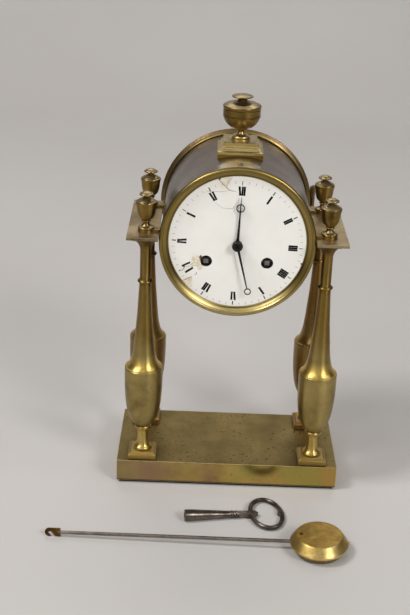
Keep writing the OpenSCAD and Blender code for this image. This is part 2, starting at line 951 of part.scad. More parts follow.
module front_plate() {
  color(pale_brass)
    translate([0, 0, works_z])
      difference() {
        union() {
          rod_y(plate_r, front_plate_y, front_plate_back);
          translate([-strap_x, front_plate_y, -strap_w / 2])
            cube([2 * strap_x, plate_t, strap_w]);
        }
        plate_holes(true);
        rod_y(centre_arbor_r + pivot_slip, front_plate_y - 1, front_plate_back + 1);
        translate([arbor_anchor[0], 0, arbor_anchor[1]])
          rod_y(pivot_r + pivot_slip, front_plate_y - 1, front_plate_back + 1);
        for (a = dial_foot_angles)
          rotate([0, a, 0])
            translate([0, 0, dial_foot_circle])
              rod_y(dial_foot_r + slip, front_plate_y - 1, front_plate_back + 1);
        translate([arbor_minute[0], 0, arbor_minute[1]])
          rod_y(pivot_r + pivot_slip, front_plate_y - 1, front_plate_back + 1);
      }
}

module back_plate() {
  color(pale_brass)
    translate([0, 0, works_z])
      difference() {
        rod_y(plate_r, back_plate_y, back_plate_back);
        plate_holes(false);
        rod_y(pivot_r + pivot_slip, back_plate_y - 1, back_plate_back + 1);
        translate([arbor_anchor[0], 0, arbor_anchor[1]])
          rod_y(arbor_r + 1.5, back_plate_y - 1, back_plate_back + 1);
        translate([bell_at[0], 0, bell_at[1]])
          rod_y(bell_post_r + seat_gap, back_plate_y - 1, back_plate_back + 1);
        for (side = [-1, 1])
          translate([side * cock_foot_x, 0, cock_foot_z])
            rod_y(screw_r + seat_gap, back_plate_y - 1, back_plate_back + 1);
      }
}

function pillar_outline() = concat(
  [[0, front_plate_y - 2.4], [pillar_end_r, front_plate_y - 2.4]],
  [[pillar_end_r, front_plate_back], [pillar_r, front_plate_back]],
  bead(pillar_r, 0.6, front_plate_back + 2, 2),
  [[pillar_r - 0.3, front_plate_back + 5], [pillar_r - 0.3, back_plate_y - 5]],
  bead(pillar_r, 0.6, back_plate_y - 4, 2),
  [[pillar_r, back_plate_y], [pillar_end_r, back_plate_y]],
  [[pillar_end_r, back_plate_back], [0, back_plate_back]]
);

module plate_pillars() {
  color(pale_brass)
    translate([0, 0, works_z])
      for (a = pillar_angles)
        rotate([0, -a, 0])
          translate([pillar_circle, 0, 0])
            turned_y(pillar_outline());
}

module movement_straps() {
  strap_front = spigot_l - drum_front;
  color(pale_brass)
    for (side = [-1, 1])
      difference() {
        translate([side > 0 ? strap_x : -strap_x - strap_t, strap_front, works_z - strap_w / 2])
          cube([strap_t, flange_front - strap_front, strap_w]);
        translate([side * (strap_x + strap_t / 2), 0, works_z])
          rod_y(screw_r / 2 + slip, flange_front - 4, flange_front + 1);
      }
}

// Winding and going train

module barrel(p, m, great_y, phase) {
  cap = great_y + great_t;
  bore = winding_r + slip;
  inside = barrel_r - barrel_wall;
  floor_y = barrel_front + barrel_wall;
  color(pale_brass)
    on_arbor(p) {
      turned_y([
        [bore, barrel_front], [barrel_r, barrel_front], [barrel_r, great_y + 0.2],
        [inside, great_y + 0.2], [inside, floor_y], [bore, floor_y]
      ]);
      difference() {
        slab(great_y, cap)
          polygon(tooth_points(great_n, m, phase));
        rod_y(bore, great_y - 1, cap + 1);
      }
    }
}

module mainspring(p, great_y) {
  inner = winding_r + 4;
  outer = barrel_r - barrel_wall - 0.4;
  steps = 20 * spring_turns;
  grow = outer - spring_t - inner;
  curve = [for (i = [0 : steps]) [inner + grow * i / steps, 360 * spring_turns * i / steps]];
  color(steel)
    on_arbor(p)
      slab(barrel_front + barrel_wall + 0.5, great_y - 0.5)
        polygon(concat(
          [for (c = curve) c[0] * [cos(c[1]), sin(c[1])]],
          [for (i = [steps : -1 : 0])
            (curve[i][0] + spring_t) * [cos(curve[i][1]), sin(curve[i][1])]]
        ));
}

module winding_arbor(p) {
  color(steel)
    on_arbor(p) {
      rod_y(winding_pivot_r, front_plate_y - 0.1, back_plate_back);
      rod_y(winding_r, front_plate_back + end_shake, back_plate_y - end_shake);
      slab(square_front, front_plate_y - ratchet_t - 0.3)
        square(square_w, center = true);
      slab(front_plate_y - ratchet_t - end_shake, front_plate_y - end_shake)
        polygon([for (i = [0 : ratchet_n - 1]) each [
          ratchet_r * [cos(360 / ratchet_n * i), sin(360 / ratchet_n * i)],
          (ratchet_r - 1.4) * [cos(360 / ratchet_n * (i + 0.12)), sin(360 / ratchet_n * (i + 0.12))]
        ]]);
      rod_y(winding_pivot_r, front_plate_y - end_shake - 0.1, front_plate_y);
    }
}

module going_barrel() barrel(barrel_going, going_m, going_great, towards(barrel_going, arbor_inter));
module strike_barrel() barrel(barrel_strike, strike_m, strike_great, towards(barrel_strike, arbor_second));
module going_mainspring() mainspring(barrel_going, going_great);
module strike_mainspring() mainspring(barrel_strike, strike_great);
module going_arbor() winding_arbor(barrel_going);
module strike_arbor() winding_arbor(barrel_strike);

// Clicks that hold the ratchets, drawn lifted clear of the teeth
module winding_clicks() {
  reach = ratchet_r + 0.4;
  color(steel)
    for (side = [-1, 1])
      translate([side * winding_gap / 2, 0, works_z - winding_drop])
        mirror([side > 0 ? 0 : 1, 0, 0])
          slab(front_plate_y - ratchet_t - end_shake, front_plate_y) {
            difference() {
              union() {
                translate([reach + 3, -8])
                  circle(r = 3);
                polygon([
                  [reach + 1, -9], [reach + 5.6, -6.5], [reach + 2.2, 2], [reach + 0.2, 2.6], [reach, 1.2]
                ]);
              }
              circle(r = reach);
            }
            translate([reach + 6.2, -14])
              square([1, 15]);
            translate([reach + 6.7, -14])
              circle(r = 1.8);
          }
}

// Arbor with a wheel and a pinion, each given as [teeth, module, phase, front]
module train_arbor(p, wheel, leaves, leaf_l) {
  on_arbor(p) {
    arbor(front_plate_back, back_plate_y);
    slab(wheel[3], wheel[3] + wheel_t)
      wheel_shape(wheel[0], wheel[1], wheel[2], arbor_r + 2.4);
    pinion(leaves[0], leaves[1], leaves[2], leaves[3], leaves[3] + leaf_l);
  }
}

module intermediate_wheel() {
  wheel = [inter_n, inter_m, towards(arbor_inter, arbor_centre), inter_layer];
  phase = meshed(barrel_going, arbor_inter, inter_pinion_n);
  color(pale_brass)
    train_arbor(arbor_inter, wheel, [inter_pinion_n, going_m, phase, going_great - 0.6], great_t + 1.2);
}

module centre_wheel() {
  phase = meshed(arbor_inter, arbor_centre, centre_pinion_n);
  color(pale_brass)
    on_arbor(arbor_centre) {
      rod_y(centre_arbor_r, collet_front - 0.8, back_plate_y - end_shake);
      rod_y(pivot_r, back_plate_y - 1, back_plate_back);
      slab(centre_layer, centre_layer + wheel_t)
        wheel_shape(centre_n, centre_m, towards(arbor_centre, arbor_third), arbor_r + 2.4);
      pinion(centre_pinion_n, inter_m, phase, inter_layer - 0.6, inter_layer + wheel_t + 0.8);
    }
}

module third_wheel() {
  wheel = [third_n, third_m, towards(arbor_third, arbor_escape), third_layer];
  phase = meshed(arbor_centre, arbor_third, third_pinion_n);
  color(pale_brass)
    train_arbor(arbor_third, wheel, [third_pinion_n, centre_m, phase, centre_layer - 0.4], wheel_t + 1.2);
}

module escape_wheel() {
  phase = meshed(arbor_third, arbor_escape, escape_pinion_n);
  root = escape_r - 1.7;
  pitch = 360 / escape_n;
  color(pale_brass)
    on_arbor(arbor_escape) {
      arbor(front_plate_back, back_plate_y);
      pinion(escape_pinion_n, third_m, phase, third_layer - 0.6, third_layer + wheel_t + 0.6);
      slab(escape_layer, escape_layer + wheel_t)
        difference() {
          polygon([for (i = [0 : escape_n - 1]) each [
            escape_r * [cos(pitch * i), sin(pitch * i)],
            root * [cos(pitch * (i + 0.22)), sin(pitch * (i + 0.22))],
            root * [cos(pitch * (i + 0.8)), sin(pitch * (i + 0.8))]
          ]]);
          difference() {
            circle(r = escape_r - 3.2);
            circle(r = arbor_r + 1.6);
            for (a = [0 : 90 : 270])
              rotate(a + 45)
                translate([0, -0.7])
                  square([escape_r - 3, 1.4]);
          }
        }
    }
}

// Recoil anchor over the escape wheel, on the arbor that carries the crutch
module anchor() {
  lift = gap(arbor_escape, arbor_anchor);
  reach = escape_r + pallet_gap;
  color(steel)
    on_arbor(arbor_anchor) {
      rod_y(arbor_r, front_plate_back + end_shake, cock_y - end_shake);
      rod_y(pivot_r, front_plate_y, cock_y + cock_t);
      slab(escape_layer - 0.3, escape_layer + wheel_t + 0.3)
        difference() {
          union() {
            circle(r = 3.2);
            for (side = [-1, 1])
              polygon([
                [0, 2], [side * 9, -3.4], [side * 12.4, -8.6], [side * 9.6, -9.4], [side * 7.6, -6], [0, -2]
              ]);
          }
          translate([0, -lift])
            circle(r = reach);
        }
    }
}

// Crutch, whose fork takes the pendulum rod
module crutch() {
  fork_gap = 2 * pendulum_rod_r + 0.8;
  color(pale_brass)
    on_arbor(arbor_anchor) {
      slab(crutch_y, crutch_y + 1.6)
        difference() {
          union() {
            circle(r = 4);
            translate([-1.4, -crutch_foot])
              square([2.8, crutch_foot]);
          }
          circle(r = arbor_r + seat_gap);
        }
      for (side = [-1, 1])
        translate([side > 0 ? fork_gap / 2 : -fork_gap / 2 - 1.2, crutch_y, -crutch_foot - 2])
          cube([1.2, slot_y - crutch_y + 3, 4]);
      translate([-fork_gap / 2 - 1.2, crutch_y, -crutch_foot - 2])
        cube([fork_gap + 2.4, 1.6, 4]);
    }
}

// Bridge on the back plate for the anchor's rear pivot and the silk arbor
module suspension_cock() {
  half = cock_foot_x + 3;
  color(pale_brass)
    translate([0, 0, works_z])
      difference() {
        union() {
          slab(cock_y, cock_y + cock_t)
            polygon([
              [-half, arbor_anchor[1] - 4], [half, arbor_anchor[1] - 4], [half, cock_foot_z + 4],
              [7, silk_z + 4], [-7, silk_z + 4], [-half, cock_foot_z + 4]
            ]);
          for (side = [-1, 1])
            translate([side * cock_foot_x, 0, cock_foot_z]) {
              rod_y(2.6, back_plate_back, cock_y + 0.1);
              rod_y(screw_r, back_plate_y, cock_y + 0.1);
              rod_y(2, cock_y + cock_t - 0.1, cock_y + cock_t + 1.2);
            }
        }
        translate([arbor_anchor[0], 0, arbor_anchor[1]])
          rod_y(pivot_r + pivot_slip, cock_y - 1, cock_y + cock_t + 1);
        translate([0, 0, silk_z])
          rod_y(silk_r + pivot_slip, cock_y - 1, cock_y + cock_t + 1);
      }
}

// Arbor that winds the silk up or down, with its knob
module silk_arbor() {
  flange_r = 2.4;
  knob_r = 3.4;
  knob_y = cock_y + cock_t + end_shake;
  color(steel)
    translate([0, 0, works_z + silk_z])
      turned_y([
        [0, cock_y - 6], [flange_r, cock_y - 6], [flange_r, cock_y - 5.2], [silk_r, cock_y - 5],
        [silk_r, cock_y - 0.8], [flange_r, cock_y - 0.6], [flange_r, cock_y - end_shake],
        [silk_r, cock_y - end_shake], [silk_r, knob_y], [knob_r, knob_y],
        [knob_r, knob_y + 3.7], [knob_r - 0.6, knob_y + 4.3], [0, knob_y + 4.3]
      ]);
}

// Motion work behind the dial

module cannon_pinion() {
  color(steel)
    on_arbor(arbor_centre)
      difference() {
        union() {
          pinion(cannon_n, cannon_m, towards(arbor_centre, arbor_minute), motion_layer - 0.3,
            front_plate_y - end_shake);
          rod_y(cannon_pipe_r, minute_hand_y, motion_layer);
        }
        rod_y(centre_arbor_r + slip, collet_front - 1, front_plate_y + 1);
      }
}

module minute_wheel() {
  color(pale_brass)
    on_arbor(arbor_minute) {
      slab(motion_layer, motion_layer + wheel_t)
        wheel_shape(minute_n, cannon_m, meshed(arbor_centre, arbor_minute, minute_n), 4.2, 4);
      pinion(minute_pinion_n, hour_m, towards(arbor_minute, arbor_centre), hour_layer - 0.4,
        motion_layer + 0.1);
      rod_y(arbor_r, motion_layer, front_plate_y - end_shake);
      rod_y(pivot_r, front_plate_y - 1, front_plate_back);
    }
}

module hour_wheel() {
  color(pale_brass)
    on_arbor(arbor_centre)
      difference() {
        union() {
          slab(hour_layer, hour_layer + wheel_t)
            wheel_shape(hour_n, hour_m, meshed(arbor_minute, arbor_centre, hour_n), hour_pipe_r + 1.6, 4);
          rod_y(hour_pipe_r, hour_hand_y + hand_t + 0.02, hour_layer + 0.5);
          rod_y(hour_pipe_r - 0.5, hour_hand_y, hour_layer);
        }
        rod_y(cannon_pipe_r + slip, hour_hand_y - 1, motion_layer);
      }
}

// Strike train

module strike_second_wheel() {
  wheel = [second_n, second_m, towards(arbor_second, arbor_pin), third_layer];
  phase = meshed(barrel_strike, arbor_second, second_pinion_n);
  color(pale_brass) {
    train_arbor(arbor_second, wheel, [second_pinion_n, strike_m, phase, strike_great - 0.6], great_t + 1.2);
    on_arbor(arbor_second)
      rod_y(pivot_r, back_plate_y, count_y + 2.2);
  }
}

// Count wheel, whose notches grow further apart from one o'clock to twelve
module count_wheel() {
  rim = 15;
  hours = 12;
  blows = 90;
  color(pale_brass)
    on_arbor(arbor_second)
      slab(count_y, count_y + wheel_t)
        difference() {
          circle(r = rim);
          circle(r = pivot_r + seat_gap);
          for (h = [1 : hours])
            rotate(360 / blows * (h * (h + 1) / 2 + h))
              translate([rim - 2, -0.7])
                square([4, 1.4]);
          for (a = [0 : 120 : 240])
            rotate(a)
              translate([7.6, 0])
                circle(r = 3.6);
        }
}

module pin_wheel() {
  wheel = [pin_n, pin_m, towards(arbor_pin, arbor_fly), pin_layer];
  phase = meshed(arbor_second, arbor_pin, pin_pinion_n);
  color(pale_brass) {
    train_arbor(arbor_pin, wheel, [pin_pinion_n, second_m, phase, third_layer - 0.6], wheel_t + 1.2);
    on_arbor(arbor_pin) {
      slab(pin_layer, pin_layer + wheel_t)
        ring_shape(pin_circle + 1, pin_circle - 1);
      for (i = [0 : lift_pins - 1])
        rotate([0, 360 / lift_pins * i, 0])
          translate([0, 0, pin_circle])
            rod_y(lift_pin_r, pin_layer + 0.5, pin_layer + wheel_t + lift_pin_l);
    }
  }
}

module fly() {
  vane = 7.6;
  vane_t = 0.8;
  vane_y = escape_layer + wheel_t + 2;
  phase = meshed(arbor_pin, arbor_fly, fly_pinion_n);
  color(pale_brass)
    on_arbor(arbor_fly) {
      arbor(front_plate_back, back_plate_y);
      pinion(fly_pinion_n, pin_m, phase, pin_layer - 0.6, pin_layer + wheel_t + 0.6);
      translate([-vane, vane_y, -vane_t / 2])
        cube([2 * vane, back_plate_y - vane_y - 1.4, vane_t]);
    }
}

// Hammer arbor, with the tail that the pins lift and the arm that strikes the bell
module hammer() {
  tail = gap(arbor_hammer, arbor_pin) - pin_circle - 1.4;
  head = bell_rim_at - arbor_hammer;
  color(steel)
    on_arbor(arbor_hammer) {
      arbor(front_plate_back, back_plate_y);
      rod_y(pivot_r, back_plate_y, hammer_y + 2);
      slab(pin_layer + wheel_t + 0.4, pin_layer + wheel_t + lift_pin_l)
        rotate(towards(arbor_hammer, arbor_pin))
          translate([0, -1.1])
            square([tail, 2.2]);
      slab(hammer_y, hammer_y + 2)
        union() {
          circle(r = 2.6);
          rotate(atan2(head[1], head[0]))
            translate([0, -1])
              square([norm(head), 2]);
        }
      translate([head[0], 0, head[1]])
        turned_y(concat([[0, hammer_y - 1]], bead(2.4, 0.8, hammer_y - 1, 12), [[0, hammer_y + 11]]));
    }
}

// Bell, its mouth towards the back plate
function bell_outline() = let (
  top = bell_rim_y + bell_depth,
  under = top - bell_t,
  crown_r = bell_r * 0.5,
  mouth_r = bell_r - bell_t - 0.4
) concat(
  [[bell_post_r + seat_gap, top], [bell_post_r + seat_gap, under]],
  cubic([crown_r, under], [bell_r * 0.86, under], [mouth_r, bell_rim_y + bell_depth * 0.5],
    [mouth_r, bell_rim_y]),
  [[bell_r, bell_rim_y]],
  cubic([bell_r - 0.3, bell_rim_y + 1], [bell_r - 0.4, bell_rim_y + bell_depth * 0.55], [bell_r * 0.88, top],
    [crown_r, top])
);

module bell() {
  color(pale_brass)
    on_arbor(bell_at)
      turned_y(bell_outline());
}

function stand_outline() = let (top = bell_rim_y + bell_depth, under = top - bell_t, nut_r = 3.6) [
  [0, back_plate_y], [bell_post_r, back_plate_y], [bell_post_r, back_plate_back],
  [4, back_plate_back], [4, back_plate_back + 1.5], [2.6, back_plate_back + 3], [2.6, under - 2],
  [nut_r, under - 1.6], [nut_r, under], [bell_post_r, under], [bell_post_r, top],
  [nut_r, top], [nut_r, top + 2], [1.6, top + 3.4], [0, top + 3.4]
];

module bell_stand() {
  color(steel)
    on_arbor(bell_at)
      turned_y(stand_outline());
}

// Pendulum, lying with its bob and hook on the floor

module on_floor_pendulum() {
  lift = bob_t / 2 * cos(pendulum_tilt) + bob_face_r * sin(pendulum_tilt);
  translate([pendulum_end[0], pendulum_end[1], lift])
    rotate([0, -pendulum_tilt, -pendulum_turn])
      children();
}

module pendulum_rod() {
  from = bob_r - pendulum_l;
  rod_from = from + hook_l - 3;
  color(steel)
    on_floor_pendulum()
      translate([rod_from, 0, 0])
        rotate([0, 90, 0])
          cylinder(r = pendulum_rod_r, h = -bob_r + 4 - rod_from);
  color(dark_brass)
    on_floor_pendulum()
      translate([from, -hook_t / 2, 0])
        pendulum_hook();
}

// Flat hook, its mouth open downward near the end
module pendulum_hook() {
  eye = [hook_h * 0.58, -hook_h * 0.08];
  eye_r = hook_h * 0.2;
  translate([0, hook_t, 0])
    rotate([90, 0, 0])
      linear_extrude(hook_t)
        difference() {
          union() {
            translate([hook_h / 2, 0])
              circle(r = hook_h / 2);
            translate([hook_h / 2, -hook_h / 2])
              square([hook_l - hook_h / 2, hook_h]);
          }
          translate(eye)
            circle(r = eye_r);
          translate(eye)
            rotate(-52)
              translate([0, -eye_r])
                square([hook_h, 2 * eye_r]);
        }
}

// Lens-shaped bob, flat on both faces, bored for the rod, with a stub at its far edge
module pendulum_bob() {
  half = bob_t / 2;
  hole_r = 1.7;
  stub_r = 1.1;
  stub_l = 1.4;
  flank = concat(
    [[bob_r, 0.5]],
    cubic([bob_r - 0.2, 0.9], [bob_r - 1.6, 2.6], [bob_face_r + 2, half - 2],
      [bob_face_r + 0.4, half - 0.3], 6),
    [[bob_face_r, half]]
  );
  color(pale_brass)
    on_floor_pendulum()
      difference() {
        union() {
          turned(concat(
            [[0, -half]],
            [for (i = [len(flank) - 1 : -1 : 0]) [flank[i][0], -flank[i][1]]],
            flank,
            [[0, half]]
          ));
          translate([bob_r - 2, 0, 0])
            rotate([0, 90, 0])
              cylinder(r = stub_r, h = 2 + stub_l);
        }
        translate([-bob_r - 1, 0, 0])
          rotate([0, 90, 0])
            cylinder(r = pendulum_rod_r + seat_gap, h = 5 + seat_gap);
        translate([-bob_face_r + 4, 0, half - 2])
          cylinder(r = hole_r, h = 4);
      }
}

// Winding key, lying with its barrel and bow on the floor

function bow_point(a) = [
  key_l - bow_l / 2 + (bow_l / 2 - bow_r) * cos(a), (bow_w / 2 - bow_r) * sin(a), 0
];

// Round section swept along the closed oval of the bow
module bow_ring() {
  turns = 40;
  sides = 10;
  points = [
    for (i = [0 : turns - 1])
      let (
        a = 360 * i / turns,
        p = bow_point(a),
        d = bow_point(a + 2) - bow_point(a - 2),
        n = [d[1], -d[0], 0] / norm(d)
      )
        for (k = [0 : sides - 1])
          p + bow_r * (cos(360 * k / sides) * n + [0, 0, sin(360 * k / sides)])
  ];
  faces = [
    for (i = [0 : turns - 1])
      for (k = [0 : sides - 1])
        let (j = (i + 1) % turns, l = (k + 1) % sides)
          each [
            [i * sides + k, j * sides + l, j * sides + k],
            [i * sides + k, i * sides + l, j * sides + l]
          ]
  ];
  polyhedron(points, faces);
}

module winding_key() {
  neck = key_l - bow_l;
  rings = neck - 17;
  socket_l = 20;
  socket_w = square_w + 0.3;
  cusp_t = 1.5 * bow_r;
  lift = key_r * cos(key_tilt) + key_mouth * sin(key_tilt);
  color(steel)
    translate([key_end[0], key_end[1], lift])
      rotate([0, key_tilt, key_turn]) {
        difference() {
          rotate([0, 90, 0])
            turned(concat(
              [[0, 0], [key_r, 0], [key_r, key_mouth]],
              cubic([key_r - 0.1, key_mouth + 0.4], [key_r - 0.5, 16], [3.5, rings - 6], [3.2, rings], 6),
              bead(3, 0.7, rings + 0.4, 2.2),
              bead(2.9, 0.5, rings + 2.8, 2),
              bead(2.8, 0.8, rings + 5, 2.2),
              [[2.6, rings + 7.4], [2.4, rings + 9], [0, rings + 9]]
            ));
          translate([-1, -socket_w / 2, -socket_w / 2])
            cube([socket_l + 1, socket_w, socket_w]);
        }
        translate([rings + 8, -3, -1.8])
          cube([neck - rings - 8 + bow_r, 6, 3.6]);
        translate([neck, 0, -cusp_t / 2])
          linear_extrude(cusp_t)
            polygon([
              [bow_r, -8], [bow_r + 2.8, -4.2], [bow_cusp, -0.5],
              [bow_cusp, 0.5], [bow_r + 2.8, 4.2], [bow_r, 8]
            ]);
        translate([key_l - 2 * bow_r, 0, -cusp_t / 2])
          linear_extrude(cusp_t)
            polygon([[bow_r - 0.5, -6], [-far_cusp, -0.5], [-far_cusp, 0.5], [bow_r - 0.5, 6]]);
        bow_ring();
      }
}

base_plinth();
base_board();
tie_bolts();
column_front_left();
column_front_right();
column_rear_left();
column_rear_right();
column_feet();
column_abaci();
side_platform_left();
side_platform_right();
drum_lugs();
urn_front_left();
urn_front_right();
urn_rear_left();
urn_rear_right();
drum_shell();
front_bezel();
rear_ring();
rear_door();
hinge_pin();
case_screws();
top_pedestal();
top_urn();
dial();
hour_hand();
minute_hand();
hand_collet();
front_plate();
back_plate();
plate_pillars();
movement_straps();
going_barrel();
going_mainspring();
going_arbor();
strike_barrel();
strike_mainspring();
strike_arbor();
winding_clicks();
intermediate_wheel();
centre_wheel();
third_wheel();
escape_wheel();
anchor();
crutch();
suspension_cock();
silk_arbor();
cannon_pinion();
minute_wheel();
hour_wheel();
strike_second_wheel();
count_wheel();
pin_wheel();
fly();
hammer();
bell();
bell_stand();
pendulum_rod();
pendulum_bob();
winding_key();
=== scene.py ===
import json
import math
import random

import bpy
import bmesh
from mathutils import Matrix, Vector


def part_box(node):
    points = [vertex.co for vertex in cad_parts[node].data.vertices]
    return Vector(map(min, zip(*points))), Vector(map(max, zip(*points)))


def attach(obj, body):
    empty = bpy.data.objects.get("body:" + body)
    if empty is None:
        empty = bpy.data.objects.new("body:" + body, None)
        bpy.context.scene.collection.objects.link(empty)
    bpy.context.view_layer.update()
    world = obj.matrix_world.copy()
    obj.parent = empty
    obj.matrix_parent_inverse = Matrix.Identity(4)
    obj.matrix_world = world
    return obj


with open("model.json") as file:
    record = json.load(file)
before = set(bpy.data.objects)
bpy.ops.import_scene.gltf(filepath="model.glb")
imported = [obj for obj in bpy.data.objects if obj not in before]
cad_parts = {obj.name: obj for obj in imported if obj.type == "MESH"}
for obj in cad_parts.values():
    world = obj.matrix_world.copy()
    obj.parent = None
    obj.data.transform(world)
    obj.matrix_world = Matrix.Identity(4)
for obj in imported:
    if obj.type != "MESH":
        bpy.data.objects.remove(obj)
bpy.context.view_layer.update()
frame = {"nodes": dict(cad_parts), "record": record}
nodes = frame["nodes"]
random.seed(7)

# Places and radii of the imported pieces, in metres

MM = 0.001

dial_low, dial_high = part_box("dial")
drum_low, drum_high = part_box("drum_shell")
plinth_low, plinth_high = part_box("base_plinth")
column_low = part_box("column_front_left")[0]
pedestal_low, pedestal_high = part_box("top_pedestal")
platform_low, platform_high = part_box("side_platform_left")
bob_low, bob_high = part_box("pendulum_bob")
key_low, key_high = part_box("winding_key")

DRUM_Z = (dial_low.z + dial_high.z) / 2
DIAL_R = (dial_high.x - dial_low.x) / 2
DIAL_FRONT_Y = dial_low.y
DIAL_DOME = 1.2 * MM
BEZEL_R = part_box("front_bezel")[1].x
DRUM_R = drum_high.x
REAR_RING_R = -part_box("rear_ring")[0].x
FOOT_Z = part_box("column_feet")[1].z
SHOULDER_Z = column_low.z + 86.4 * MM
STEM_Z = column_low.z + 95 * MM
ABACUS_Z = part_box("column_abaci")[0].z
HOOK_END_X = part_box("pendulum_rod")[0].x + 14 * MM


# Help with colours and shader nodes

def srgb(red, green, blue):
    """An sRGB colour, 0 to 255, as a linear RGBA tuple."""
    def to_linear(value):
        value /= 255
        return value / 12.92 if value <= 0.04045 else ((value + 0.055) / 1.055) ** 2.4
    return (to_linear(red), to_linear(green), to_linear(blue), 1.0)


def darkened(colour, share):
    """A share of a linear colour's light."""
    return tuple(share * part for part in colour[:3]) + (1.0,)


# Sockets of a Mix node that mixes colours
MIX_SHARE = 0
MIX_BASE = 6
MIX_OVER = 7
MIX_RESULT = 2

# Rays that an ambient occlusion or bevel node sends out
NODE_RAYS = 8

# Low, middling and high values of a noise
NOISE_LOW = 0.30
NOISE_MIDDLE = 0.48
NOISE_HIGH = 0.70


class Shader:
    """A material with its node tree, and short calls that add nodes to it."""

    def __init__(self, name):
        self.material = bpy.data.materials.new(name)
        self.material.use_nodes = True
        self.tree = self.material.node_tree
        self.surface = self.tree.nodes["Principled BSDF"]
        self.point = self.node("ShaderNodeTexCoord").outputs["Object"]
        self.x, self.y, self.z = self.node("ShaderNodeSeparateXYZ", {0: self.point}).outputs

    def put(self, socket, value):
        """Links a socket to another socket, or sets it to a constant."""
        if isinstance(value, bpy.types.NodeSocket):
            self.tree.links.new(value, socket)
        else:
            socket.default_value = value

    def node(self, kind, inputs=(), **settings):
        """A new node with its settings and inputs."""
        node = self.tree.nodes.new(kind)
        for name, value in settings.items():
            setattr(node, name, value)
        for name, value in dict(inputs).items():
            self.put(node.inputs[name], value)
        return node

    def maths(self, operation, a, b=0.0):
        """A number worked out from two others."""
        return self.node("ShaderNodeMath", {0: a, 1: b}, operation=operation).outputs[0]

    def vector(self, operation, a, b):
        """A node that works on two vectors."""
        return self.node("ShaderNodeVectorMath", {0: a, 1: b}, operation=operation)

    def distance(self, point, place):
        """How far a point is from a fixed place."""
        return self.vector("DISTANCE", point, place).outputs["Value"]

    def noise(self, scale, detail, rough, stretch=None):
        """Cloudy noise from 0 to 1, fixed to the object."""
        point = self.point
        if stretch:
            point = self.vector("MULTIPLY", point, stretch).outputs[0]
        inputs = {"Vector": point, "Scale": scale, "Detail": detail, "Roughness": rough}
        return self.node("ShaderNodeTexNoise", inputs).outputs[0]

    def ramp(self, value, *stops):
        """Colours along a value; each stop is a position and its colour."""
        node = self.node("ShaderNodeValToRGB", {"Fac": value})
        elements = node.color_ramp.elements
        while len(elements) < len(stops):
            elements.new(0.5)
        for element, (position, colour) in zip(elements, stops):
            element.position = position
            element.color = colour
        return node.outputs["Color"]

    def span(self, value, start, end, first=0.0, last=1.0):
        """Goes from first to last while the value goes from start to end."""
        inputs = {"Value": value, "From Min": start, "From Max": end, "To Min": first, "To Max": last}
        return self.node("ShaderNodeMapRange", inputs).outputs[0]

    def spread(self, noise, first, last):
        """Goes from first to last while a noise goes from low to high."""
        return self.span(noise, NOISE_LOW, NOISE_HIGH, first, last)

    def mix(self, share, base, over):
        """A colour, covered by another to the given share."""
        node = self.node("ShaderNodeMix", data_type="RGBA")
        self.put(node.inputs[MIX_SHARE], share)
        self.put(node.inputs[MIX_BASE], base)
        self.put(node.inputs[MIX_OVER], over)
        return node.outputs[MIX_RESULT]

    def facing_up(self):
        """One where the surface faces up, zero where it is upright."""
        normal = self.node("ShaderNodeNewGeometry").outputs["Normal"]
        return self.node("ShaderNodeSeparateXYZ", {0: normal}).outputs["Z"]

    def openness(self, distance):
        """One on open surfaces, falling towards zero in corners."""
        inputs = {"Distance": distance}
        return self.node("ShaderNodeAmbientOcclusion", inputs, samples=NODE_RAYS).outputs["AO"]

    def bump(self, height, strength, distance):
        """Relief in the shading."""
        node = self.node("ShaderNodeBump", {"Height": height, "Strength": strength, "Distance": distance})
        self.put(self.surface.inputs["Normal"], node.outputs["Normal"])
        return node

    def worn_edges_and_highlight(self, colour, bump, radius, shade, share):
        """Rounds the sharp edges in the shading and colours them bright: wear, with a painted highlight
        along them.
        """
        rounded = self.node("ShaderNodeBevel", {"Radius": radius}, samples=NODE_RAYS).outputs[0]
        self.put(bump.inputs["Normal"], rounded)
        true_normal = self.node("ShaderNodeNewGeometry").outputs["Normal"]
        alike = self.vector("DOT_PRODUCT", rounded, true_normal).outputs["Value"]
        return self.mix(self.span(alike, 0.99, 0.90, 0.0, share), colour, shade)

    def finish(self, **inputs):
        """Sets sockets of the surface, with _ for a space in their names, and gives the material."""
        for name, value in inputs.items():
            self.put(self.surface.inputs[name.replace("_", " ")], value)
        return self.material


# Old metal

# Heights, in metres, for a band of colour that has no lower or no upper end
NO_START = (-1, 0)
NO_END = (1, 2)

SPECK = (0.030, 0.021, 0.011, 1)
TURNED_SHEEN = 0.75
FLAT_SHEEN = 0.1


